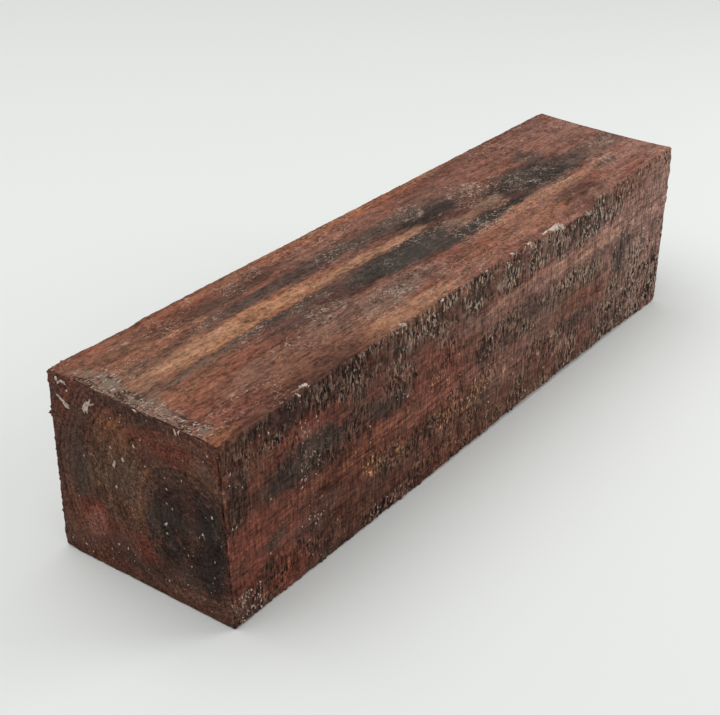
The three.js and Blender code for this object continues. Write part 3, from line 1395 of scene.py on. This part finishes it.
    def paint(
        self,
        board: Board,
        surface: Surface,
        colour: bpy.types.NodeSocket,
        faces: tuple[tuple[Face, tuple[Streak, ...]], ...],
        specks: Value,
        holes: Value,
    ) -> bpy.types.NodeSocket:
        """Lays each streak over the wood's own figure.

        Args:
            board: The material's nodes.
            surface: What the finish reads at each point.
            colour: The wood's own colour.
            faces: The faces, each with its streaks.
            specks: Where a speckled streak shows.
            holes: Where a speckled streak of painted shade in holes shows.

        Returns:
            The colour with the streaks.
        """
        for face, streaks in faces:
            for streak in streaks:
                middle, reach = streak.middle(face), streak.reach(face)
                scale = tuple(1.0 / part for part in reach)
                shift = tuple(-where / part for where, part in zip(middle, reach))
                from_middle = board.length(board.vector("MULTIPLY_ADD", surface.bent, scale, shift))
                cover = from_middle.ramp(1.0 + self.streak_edge, 1.0 - self.streak_edge)
                if streak.speckled:
                    cover = cover * (holes if streak.tone is Tone.GAP else specks)
                colour = board.mix(cover * streak.strength, colour, streak.tone.value)
        return colour

    def grain(
        self, board: Board, surface: Surface, colour: bpy.types.NodeSocket
    ) -> bpy.types.NodeSocket:
        """Adds the fine lines along the grain, the speckle between them, and the pores."""
        place = surface.place
        lines = board.graded(place, (16.0, 0.9, 0.9), 3.0, spread=0.18)
        broad = board.graded(place, (45.0, 2.2, 2.2), 3.0)
        speckle = board.graded(place, (2.2, 1.1, 1.1), 3.0, 0.6)
        grit = board.graded(place, (0.95, 0.95, 0.95))
        mottle = board.graded(place, (7.0, 3.5, 3.5), 4.0, spread=0.18)
        pits = board.fleck(place, (2.4, 1.0, 1.0), 2.0, 0.8).ramp(0.57, 0.64)
        rings = self.ring_lines(board, place)
        along_grain = lines * 0.36 + broad * 0.34 + speckle * 0.80 + mottle * 0.60 + 0.02
        across_grain = grit * 0.86 + mottle * 0.44 + speckle * 0.36 + rings * 0.54 - 0.14
        colour = board.shade(colour, along_grain + (across_grain - along_grain) * surface.on_end)
        return board.mix(pits * (0.45 + surface.on_end * 0.3), colour, Tone.BLACK.value)

    def ring_lines(self, board: Board, place: bpy.types.NodeSocket) -> Value:
        """The fine growth rings, which show as arcs on the ends."""
        drift = board.noise(place, (50.0, 16.0, 16.0), 1.0).outputs["Color"]
        wander = board.vector("ADD", drift, (-0.5, -0.5, -0.5))
        moved = board.vector("MULTIPLY_ADD", wander, (0.0, 3.5, 3.5), place)
        from_pith = board.vector("SUBTRACT", moved, (0.0, *self.pith))
        radius = board.length(board.vector("MULTIPLY", from_pith, (0.0, 1.0, 1.0)))
        rings = board.combine(radius / self.ring_gap, 0.0, 0.0)
        return board.graded(rings, (1.0, 1.0, 1.0), 1.0, spread=0.14)

    def saw_marks(
        self, board: Board, surface: Surface, colour: bpy.types.NodeSocket
    ) -> bpy.types.NodeSocket:
        """Darkens the valleys, pits and tears that the saw left with painted shade, and lightens the tips
        between them with pale fibre and painted highlight.
        """
        place, sawn = surface.place, surface.sawn
        dashes = board.graded(place, SCRATCH_SIZE)
        feed = board.graded(place, (6.0, 40.0, 60.0))
        cross = board.graded(place, (14.0, 40.0, 1.0))
        # Light and dark dashes along the saw's lines: partly the wood's colour, partly painted light and
        # shade of the ridges.
        cut = (0.58 + dashes * 0.84) * (0.76 + cross * 0.48) * (0.76 + feed * 0.48)
        colour = board.shade(colour, 1.0 + (cut - 1.0) * surface.on_side)
        clustered = board.fleck(place, (15.0, 40.0, 8.0), 3.0).ramp(0.42, 0.60)
        amount = surface.on_side * (0.12 + clustered * 0.88) * (0.14 + sawn * 1.6)
        torn = board.fleck(place, TEAR_SIZE, 2.0, TEAR_CURL).ramp(0.51, 0.555)
        dry_lit_tips = board.fleck(place, (0.82, 37.0, 2.9), 2.0, 0.7).ramp(0.545, 0.59)

        # The lightened tips are few and warm at the near end, and more and paler towards the far end and
        # the top: dry fibre and wax, and painted highlight.
        along, _, up = board.parts(place)
        tip_strength = 0.34 + along.ramp(-90.0, -30.0) * 0.6
        pale = 1.0 - up.ramp(62.0, 52.0) * (1.0 - along.ramp(-20.0, 100.0) * 0.9)
        tip_colour = board.mix(pale, Tone.WARM_TIP.value, Tone.DRY_TIP.value)
        ridge_colour = board.mix(pale, Tone.WARM_TIP.value, Tone.GREY_WAX.value)
        # The tips of the relief take painted highlight, and its valleys painted shade.
        tips = surface.relief.ramp(0.06, 0.36) * sawn * tip_strength
        valley_shade = surface.relief.ramp(0.0, -0.28) * sawn
        colour = board.mix(valley_shade * 0.85, colour, Tone.GAP.value)
        # The tears take painted shade, and the dry tips pale fibre and painted highlight.
        colour = board.mix(torn * amount, colour, Tone.GAP.value)
        colour = board.mix(tips * dashes * 0.85, colour, ridge_colour)
        return board.mix(dry_lit_tips * amount * tip_strength, colour, tip_colour)

    def wax(
        self, board: Board, surface: Surface, colour: bpy.types.NodeSocket
    ) -> tuple[bpy.types.NodeSocket, Value]:
        """Adds the thin grey film of wax, and its pale flecks.

        Returns:
            The colour, and how much wax there is.
        """
        place = surface.place
        along, across, _ = board.parts(place)
        ragged = board.fleck(place, (4.0, 7.0, 7.0), 3.0) * 12.0 - 6.0
        from_corner = (WIDTH / 2 - across).ramp(4.0, 14.0) * (WIDTH / 2 + across).ramp(4.0, 9.0)
        gone, whole = (border - LENGTH / 2 for border in self.film_border)
        near = (along + ragged).ramp(gone, whole) * surface.on_top * from_corner
        brushed = board.fleck(place, (4.0, 9.0, 2.0), 4.0, 0.8)
        clouds = board.fleck(place, (40.0, 16.0, 16.0), 3.0).ramp(0.40, 0.70)
        threads = board.fleck(place, (2.6, 1.3, 1.3), 2.0, 1.8).ramp(0.59, 0.64)
        gathered = board.fleck(place, (24.0, 9.0, 9.0), 3.0).ramp(0.48, 0.60)
        coarse = board.fleck(place, (1.6, 2.6, 1.6), 3.0, 1.0)
        film = clouds * 0.14 + near * brushed.ramp(0.34, 0.54) * (0.25 + coarse.ramp(0.42, 0.58) * 0.45)
        gaps = near * (brushed.ramp(0.49, 0.42) * 0.6 + coarse.ramp(0.44, 0.38) * 0.5)
        held = gathered * (surface.on_top * 0.55 + surface.on_side * 0.2 + surface.on_end * 0.2)
        flecks = threads * (held + near * 0.8)
        colour = board.mix(film, colour, Tone.GREY_FILM.value)
        colour = board.mix(gaps, colour, Tone.BLACK.value)
        colour = board.mix(flecks, colour, Tone.DRY_TIP.value)
        return colour, film + flecks

    def fine_height(self, board: Board, surface: Surface) -> Value:
        """The relief that is too fine for the mesh, from 0 to about 1."""
        place = surface.place
        fibres = board.fleck(place, (5.0, 0.8, 0.8), 2.0)
        scratches = board.fleck(place, SCRATCH_SIZE)
        torn = board.fleck(place, TEAR_SIZE, 2.0, TEAR_CURL)
        grit = board.fleck(place, (1.1, 1.0, 1.0), 3.0)
        on_side, on_end = surface.on_side, surface.on_end
        lines = scratches * 1.1 - torn * 1.2
        return fibres * (0.7 - on_side * 0.3) + lines * on_side + grit * (0.9 + on_end * 0.8)


@dataclass(frozen=True)
class PaleWax:
    """The finish of a loose flake of wax.

    Attributes:
        colour: The wax where it is clean.
        crease_shade: Its creases, darkened with painted shade.
        roughness: Its roughness.
    """

    colour: Colour = (0.58, 0.45, 0.37)
    crease_shade: Colour = (0.16, 0.10, 0.08)
    roughness: float = 0.5

    def build(self) -> bpy.types.Material:
        """Makes the material."""
        board = Board("pale_wax")
        creases = board.fleck(board.millimetres(), (1.3, 1.3, 1.3), 3.0, 1.5)
        # The creases are darkened with painted shade.
        colour = board.mix(creases.ramp(0.52, 0.62) * 0.85, self.colour, self.crease_shade)
        normal = board.bump(1.0, 0.6, creases)
        return board.finish(Base_Color=colour, Roughness=self.roughness, Normal=normal)


@dataclass(frozen=True)
class PaleFloor:
    """The finish of the floor.

    Attributes:
        colour: Its colour.
        roughness: Its roughness.
        gloss: How strongly it reflects.
    """

    colour: Colour = (0.70, 0.715, 0.70)
    roughness: float = 0.9
    gloss: float = 0.1

    def build(self) -> bpy.types.Material:
        """Makes the material."""
        board = Board("pale_floor")
        return board.finish(
            Base_Color=self.colour, Roughness=self.roughness, Specular_IOR_Level=self.gloss
        )


@dataclass(frozen=True)
class Flake:
    """One flake or crumb of wax.

    Attributes:
        across: Its middle, in millimetres from the left arris of the near end, or along a top arris.
        down: Its middle, in millimetres down from the top arris.
        long: Its length.
        wide: Its width.
        turn: How far it leans from upright, in degrees.
    """

    across: float
    down: float
    long: float
    wide: float
    turn: float


# The flakes that show singly on the near end.
NEAR_FLAKES = (
    Flake(16.6, 9.2, 4.8, 2.3, -26),
    Flake(18.2, 6.6, 4.0, 1.1, -14),
    Flake(19.6, 7.0, 3.6, 0.9, -58),
    Flake(15.6, 10.6, 2.4, 1.7, -50),
    Flake(2.9, 2.9, 2.6, 1.4, 20),
    Flake(4.6, 3.8, 2.6, 1.2, -50),
    Flake(6.6, 3.2, 2.4, 1.1, 75),
    Flake(7.6, 6.2, 1.6, 1.0, -20),
    Flake(3.6, 10.0, 3.4, 1.2, 60),
    Flake(6.8, 11.8, 3.2, 1.9, 50),
    Flake(31.4, 24.3, 3.2, 1.3, 85),
    Flake(27.5, 26.8, 3.2, 1.4, -15),
    Flake(26.4, 21.2, 1.1, 0.9, 0),
    Flake(27.0, 36.8, 2.0, 1.0, 20),
    Flake(37.3, 15.9, 1.5, 0.8, 40),
    Flake(49.0, 42.7, 2.0, 0.9, -40),
    Flake(49.0, 46.5, 1.8, 0.6, 90),
    Flake(57.0, 2.0, 2.2, 0.8, 30),
    Flake(58.6, 2.0, 2.0, 0.8, -30),
    Flake(39.4, 1.6, 4.0, 0.8, 88),
    Flake(70.0, 30.0, 1.2, 0.8, 20),
    Flake(65.5, 39.4, 1.1, 0.9, 0),
)

# The chip and the crumbs on the top arris of the right side, by their place along it.
ARRIS_FLAKES = (
    Flake(203, 1.0, 8.5, 2.3, 84),
    Flake(207, 2.6, 3.6, 1.8, 60),
    Flake(194, 0.4, 5.0, 1.0, 95),
    Flake(181, 0.3, 4.2, 0.9, 86),
    Flake(168, 0.2, 3.6, 0.8, 92),
    Flake(228, 3.0, 2.6, 1.0, 30),
    Flake(238.5, 5.0, 8.0, 0.6, 4),
    Flake(241, 2.0, 4.0, 0.5, -6),
    Flake(150, 0.4, 2.4, 0.8, 80),
    Flake(96, 0.6, 2.8, 1.0, 70),
    Flake(43, 0.5, 4.6, 1.5, 75),
    Flake(38, 1.5, 2.4, 1.1, 40),
    Flake(120, 0.8, 1.8, 0.9, 100),
    Flake(262, 0.8, 2.4, 0.8, 85),
)


@dataclass(frozen=True)
class Cluster(Area):
    """An area of a long side where crumbs of wax gather.

    Attributes:
        count: How many crumbs there are.
        side: -1 for the right side and 1 for the left one.
    """

    count: int
    side: int = -1


# Where they gather on the right side, and then on the left one.
CLUSTERS = (
    Cluster(1, 17, 63, 74, 44),
    Cluster(38, 49, 10, 36, 34),
    Cluster(42, 50, 46, 74, 16),
    Cluster(2, 10, 10, 40, 6),
    Cluster(2, 60, 3, 14, 8),
    Cluster(76, 102, 68, 74, 20),
    Cluster(92, 101, 6, 32, 12),
    Cluster(105, 202, 2, 14, 44),
    Cluster(222, 256, 6, 16, 26),
    Cluster(104, 150, 28, 56, 12),
    Cluster(154.5, 156.5, 30, 74, 18),
    Cluster(180, 225, 60, 74, 10),
    Cluster(256, 303, 24, 46, 24),
    Cluster(262, 303, 46, 74, 24),
    Cluster(2, 302, 2, 74, 40),
    Cluster(2, 302, 2, 74, 90, 1),
    Cluster(60, 120, 4, 20, 30, 1),
    Cluster(230, 290, 40, 72, 30, 1),
)


@dataclass
class WaxFlakes:
    """The loose flakes and crumbs of wax on the block.

    Attributes:
        block: The block that they lie on.
        thickness: The thickness of a flake 1 mm wide or more, in millimetres.
        end_crumbs: How many crumbs lie on the near end.
        lean: How far a flake follows the small slopes below it, from 0 to 1.
        stand_off: How far outside the block a ray to its arris starts, in millimetres.
        seed: The seed of the crumbs' places.
    """

    block: bpy.types.Object
    thickness: float = 0.8
    end_crumbs: int = 62
    lean: float = 0.4
    stand_off: float = 20.0
    seed: int = 7

    def build(self) -> bpy.types.Object:
        """Makes all the flakes as one piece."""
        flats = [crumpled(f"flake_{seed}", 2, 0.30, seed) for seed in range(3)]
        crumb = crumpled("crumb", 0, 0.3, self.seed)
        copies = [self.on_near_end(flats[i % 3], flake) for i, flake in enumerate(NEAR_FLAKES)]
        copies += [self.on_top_arris(flats[i % 3], flake) for i, flake in enumerate(ARRIS_FLAKES)]
        draw = random.Random(self.seed)
        copies += [self.on_near_end(crumb, self.crumb_on_end(draw)) for _ in range(self.end_crumbs)]
        for cluster in CLUSTERS:
            copies += [self.on_side(crumb, cluster, draw) for _ in range(cluster.count)]
        for start in (*flats, crumb):
            bpy.data.objects.remove(start)
        return join(copies, "wax_flakes")

    def crumb_on_end(self, draw: random.Random) -> Flake:
        """Draws a crumb's place on the near end."""
        size = draw.triangular(0.22, 0.8, 0.26)
        down = draw.choice((draw.uniform(1.5, 73), draw.triangular(30, 74, 72)))
        return Flake(draw.uniform(1.5, 72), down, size * 1.6, size, draw.uniform(0, 180))

    def on_near_end(self, start: bpy.types.Object, flake: Flake) -> bpy.types.Object:
        """Copies a flake onto the near end.

        Args:
            start: The flake to copy.
            flake: Its place and size.

        Returns:
            The copy.
        """
        origin = Vector((-LENGTH, WIDTH / 2 - flake.across, HEIGHT - flake.down)) * MM
        return self.lay(start, origin, Vector((1, 0, 0)), flake)

    def on_top_arris(self, start: bpy.types.Object, flake: Flake) -> bpy.types.Object:
        """Copies a flake onto the top arris of the right side.

        Args:
            start: The flake to copy.
            flake: Its place along the arris, its place down from it, and its size.

        Returns:
            The copy.
        """
        down = Vector((0, 0.8, -0.6))
        target = Vector((flake.across - LENGTH / 2, -WIDTH / 2 + 1.0, HEIGHT - flake.down))
        return self.lay(start, (target - down * self.stand_off) * MM, down, flake)

    def on_side(
        self, start: bpy.types.Object, cluster: Cluster, draw: random.Random
    ) -> bpy.types.Object:
        """Copies a crumb onto a long side.

        Args:
            start: The crumb to copy.
            cluster: Where the crumbs gather.
            draw: The draw of its place and size.

        Returns:
            The copy.
        """
        size = draw.triangular(0.25, 0.8, 0.3)
        flake = Flake(0, 0, size * draw.uniform(1, 3), size, draw.uniform(-50, 50))
        along = draw.uniform(cluster.start, cluster.end) - LENGTH / 2
        level = HEIGHT - draw.uniform(cluster.upper, cluster.lower)
        origin = Vector((along, cluster.side * WIDTH, level)) * MM
        return self.lay(start, origin, Vector((0, -cluster.side, 0)), flake)

    def lay(
        self, start: bpy.types.Object, origin: Vector, direction: Vector, flake: Flake
    ) -> bpy.types.Object:
        """Copies a flake to where a ray meets the block, flat on its surface.

        Args:
            start: The flake to copy.
            origin: Where the ray starts, in metres.
            direction: Where it goes.
            flake: The flake's size and turn.

        Returns:
            The copy, with its own mesh.
        """
        _, point, normal, _ = self.block.ray_cast(origin, direction)
        facing = (-direction).slerp(normal, self.lean)
        lying = facing.to_track_quat("Z", "Y").to_matrix().to_4x4()
        turned = Matrix.Rotation(math.radians(flake.turn), 4, "Z")
        thick = self.thickness * min(1.0, flake.wide)
        size = Matrix.Diagonal((flake.wide * MM, flake.long * MM, thick * MM, 1.0))
        return place_copy(start, Matrix.Translation(point) @ lying @ turned @ size)


@dataclass(frozen=True)
class TornWood:
    """The finish of the splinters and crumbs of wood on the arrises.

    Attributes:
        darkest: The colour of the darkest of them.
        roughness: Their roughness.
        gloss: How strongly they reflect.
    """

    darkest: Colour = (0.018, 0.012, 0.010)
    roughness: float = 0.6
    gloss: float = 0.1

    def build(self) -> bpy.types.Material:
        """Makes the material."""
        board = Board("torn_wood")
        place = board.millimetres()
        stops = (
            (0.36, self.darkest),
            (0.48, Tone.DARK_BROWN.value),
            (0.58, Tone.RED_BROWN.value),
            (0.68, Tone.GREY_WAX.value),
        )
        colour = board.tinted(board.fleck(place, (3.0, 3.0, 3.0), 3.0), stops)
        normal = board.bump(0.4, 0.2, board.fleck(place, (0.5, 0.4, 0.4)))
        return board.finish(
            Base_Color=colour, Roughness=self.roughness, Normal=normal, Specular_IOR_Level=self.gloss
        )


@dataclass
class TornGrain:
    """The splinters along the long arrises, and the crumbs of torn end grain round the near end.

    Attributes:
        block: The block that they stand on.
        splinters: How many splinters there are.
        crumbs: How many crumbs there are.
        splinter_reach: How far from the block's middle the splinters lie, in millimetres along it.
        splinter_inset: How far from an arris they lie.
        stand_off: How far outside the block the ray to a splinter's place starts.
        crumb_stand_off: How far outside it the ray to a crumb's place starts.
        crumb_inset: How far in from the end and from the side a crumb's place lies.
        crumb_level: How far up or down a crumb on the top or the base lies, as a share of half the height.
        seed: The seed of their places.
    """

    block: bpy.types.Object
    splinters: int = 130
    crumbs: int = 280
    splinter_reach: float = 146.0
    splinter_inset: float = 0.9
    stand_off: float = 9.0
    crumb_stand_off: float = 20.0
    crumb_inset: tuple[float, float] = (0.8, 0.6)
    crumb_level: float = 0.978
    seed: int = 11

    def build(self) -> bpy.types.Object:
        """Makes them all as one piece."""
        draw = random.Random(self.seed)
        sliver = self.sliver()
        crumb = crumpled("torn_crumb", 0, 0.22, self.seed)
        copies = [self.on_long_arris(sliver, draw) for _ in range(self.splinters)]
        copies += [self.on_near_arris(crumb, draw) for _ in range(self.crumbs)]
        for start in (sliver, crumb):
            bpy.data.objects.remove(start)
        return join(copies, "torn_grain")

    def sliver(self) -> bpy.types.Object:
        """Makes one bent splinter, a unit long, that the others are copies of."""
        deselect_all()
        bpy.ops.mesh.primitive_cone_add(vertices=5, radius1=0.5, radius2=0.06, depth=1.0)
        piece = bpy.context.active_object
        piece.name = "sliver"
        with editing(piece):
            bpy.ops.mesh.select_all(action="DESELECT")
            select_edges(piece, Axis.UP, 0.5)
            bpy.ops.mesh.subdivide(number_cuts=3)
            bpy.ops.mesh.select_all(action="SELECT")
            bpy.ops.transform.vertex_random(offset=0.12, uniform=0.5, seed=self.seed)
        return piece

    def on_long_arris(self, start: bpy.types.Object, draw: random.Random) -> bpy.types.Object:
        """Copies a splinter onto a long arris, nearly along the grain.

        Args:
            start: The splinter to copy.
            draw: The draw of its place and size.

        Returns:
            The copy.
        """
        side, rise = draw.choice(((-1, -1), (-1, -1), (-1, 1), (1, -1), (1, 1)))
        level = HEIGHT / 2 + rise * (HEIGHT / 2 - self.splinter_inset)
        along = draw.uniform(-self.splinter_reach, self.splinter_reach)
        origin = Vector((along, side * (WIDTH / 2 + self.stand_off), level + rise * 2)) * MM
        direction = Vector((0, -side, -rise * 0.25)).normalized()
        lengthwise = draw.choice((-1, 1))
        leaning = side * draw.uniform(0.0, 0.18)
        rising = rise * draw.uniform(-0.1, 0.1)
        size = (draw.uniform(0.25, 0.5), draw.uniform(0.2, 0.35), draw.uniform(1.5, 4.5))
        return self.lay(start, origin, direction, Vector((lengthwise, leaning, rising)), size)

    def on_near_arris(self, start: bpy.types.Object, draw: random.Random) -> bpy.types.Object:
        """Copies a crumb onto an arris of the near end.

        Args:
            start: The crumb to copy.
            draw: The draw of its place and size.

        Returns:
            The copy.
        """
        share = draw.uniform(-0.9, 0.9)
        edge = draw.choice(("left", "left", "right", "top", "base", "base"))
        places = {"left": (1, share), "right": (-1, share), "top": (share, 1), "base": (share, -1)}
        across, up = places[edge]
        sideways = 0.8 * across * (edge in ("left", "right"))
        upwards = 0.8 * up * (edge == "top")
        outwards = Vector((-1.0, sideways, upwards))
        from_end, from_side = self.crumb_inset
        level = HEIGHT / 2 * (1 + up * self.crumb_level)
        target = Vector((-LENGTH / 2 + from_end, across * (WIDTH / 2 - from_side), level))
        origin = (target + outwards * self.crumb_stand_off) * MM
        size = draw.triangular(0.35, 1.0, 0.5)
        stretch = (size, size * draw.uniform(0.5, 0.9), size * draw.uniform(0.5, 1.0))
        turn = Vector((draw.uniform(-1, 1), draw.uniform(-1, 1), draw.uniform(-1, 1)))
        return self.lay(start, origin, -outwards.normalized(), turn, stretch)

    def lay(
        self,
        start: bpy.types.Object,
        origin: Vector,
        direction: Vector,
        along: Vector,
        size: Triple,
    ) -> bpy.types.Object:
        """Copies a piece to where a ray meets the block.

        Args:
            start: The piece to copy.
            origin: Where the ray starts, in metres.
            direction: Where it goes.
            along: Where the piece's own length points.
            size: The copy's size, in millimetres.

        Returns:
            The copy, with its own mesh.
        """
        met, point, _, _ = self.block.ray_cast(origin, direction)
        if not met:
            _, point, _, _ = self.block.closest_point_on_mesh(origin)
        turned = along.to_track_quat("Z", "Y").to_matrix().to_4x4()
        stretched = Matrix.Diagonal((*(part * MM for part in size), 1.0))
        return place_copy(start, Matrix.Translation(point) @ turned @ stretched)


@dataclass(frozen=True)
class SoftLight:
    """A soft square light that faces the middle of the block's base.

    Attributes:
        name: Its name.
        place: Where it hangs, in metres.
        size: Its width, in metres.
        power: Its power, in watts.
    """

    name: str
    place: Triple
    size: float
    power: float

    def build(self) -> None:
        """Hangs the light."""
        data = bpy.data.lights.new(self.name, "AREA")
        data.size = self.size
        data.energy = self.power
        light = bpy.data.objects.new(self.name, data)
        bpy.context.scene.collection.objects.link(light)
        place = Vector(self.place)
        facing = (-place).to_track_quat("-Z", "Y").to_matrix().to_4x4()
        light.matrix_world = Matrix.Translation(place) @ facing


LIGHTS = (
    SoftLight("overhead", place=(-0.25, 0.3, 1.25), size=1.4, power=14.3),
    SoftLight("far_right", place=(0.66, -0.58, 0.45), size=0.5, power=3.6),
)


@dataclass
class Studio:
    """The floor, the lights and the camera at the photograph's angle.

    Attributes:
        azimuth: The camera's direction round the block, in degrees.
        elevation: Its height over the floor, in degrees.
        roll: Its turn about its own axis, in degrees.
        distance: How far it stands from the block's middle, in millimetres.
        sideways: How far it is moved to its own right, in millimetres.
        upwards: How far it is moved to its own top, in millimetres.
        middle_height: How high the block's middle is, in millimetres.
        lens: Its focal length, in millimetres.
        sensor: Its sensor's width, in millimetres.
        surroundings: How strong the even white light from all round is.
        floor_size: The floor's width, in metres.
    """

    azimuth: float = -52.845
    elevation: float = 30.351
    roll: float = 1.063
    distance: float = 573.94
    sideways: float = -19.593
    upwards: float = -12.801
    middle_height: float = 37.5
    lens: float = 70.72
    sensor: float = 36.0
    surroundings: float = 0.46
    floor_size: float = 60.0

    def build(self) -> None:
        """Sets up the whole studio."""
        self.floor()
        self.camera()
        for light in LIGHTS:
            light.build()
        world = bpy.data.worlds.new("studio")
        bpy.context.scene.world = world
        world.use_nodes = True
        background = world.node_tree.nodes["Background"]
        background.inputs["Color"].default_value = (1.0, 1.0, 1.0, 1.0)
        background.inputs["Strength"].default_value = self.surroundings
        bpy.context.scene.view_settings.view_transform = "Standard"

    def floor(self) -> None:
        """Makes the pale floor."""
        deselect_all()
        bpy.ops.mesh.primitive_plane_add(size=self.floor_size, location=(0, 0, 0))
        floor = bpy.context.active_object
        floor.name = "floor"
        floor.data.materials.append(PaleFloor().build())

    def camera(self) -> None:
        """Places the camera."""
        turn, lift, lean = (math.radians(a) for a in (self.azimuth, self.elevation, self.roll))
        back = Vector((math.sin(turn) * math.cos(lift), -math.cos(turn) * math.cos(lift), math.sin(lift)))
        level = Vector((0, 0, 1)).cross(back).normalized()
        upright = back.cross(level)
        right = level * math.cos(lean) + upright * math.sin(lean)
        up = -level * math.sin(lean) + upright * math.cos(lean)
        place = back * self.distance + right * self.sideways + up * self.upwards
        place += Vector((0, 0, self.middle_height))
        data = bpy.data.cameras.new("camera")
        data.lens = self.lens
        data.sensor_width = self.sensor
        data.sensor_fit = "HORIZONTAL"
        camera = bpy.data.objects.new("camera", data)
        bpy.context.scene.collection.objects.link(camera)
        axes = Matrix((right, up, back)).transposed().to_4x4()
        camera.matrix_world = Matrix.Translation(place * MM) @ axes
        bpy.context.scene.camera = camera


def report(piece: bpy.types.Object) -> None:
    """Logs a piece's size.

    Args:
        piece: The piece.
    """
    triangles = sum(len(face.vertices) - 2 for face in piece.data.polygons)
    size = tuple(round(span, 4) for span in piece.dimensions)
    log.info("%s: %d triangles, %s m", piece.name, triangles, size)


def main() -> None:
    """Builds the studio and the block, and dresses it."""
    logging.basicConfig(level=logging.INFO, format="%(name)s: %(message)s")
    Studio().build()

    block = Block().build()
    block.data.materials.append(WaxedHeartwood().build())
    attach(block, BODY)
    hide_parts(NODE)
    report(block)

    for piece, finish in ((WaxFlakes(block).build(), PaleWax()), (TornGrain(block).build(), TornWood())):
        piece.data.materials.append(finish.build())
        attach(piece, BODY)
        report(piece)


if __name__ == "__main__":
    main()
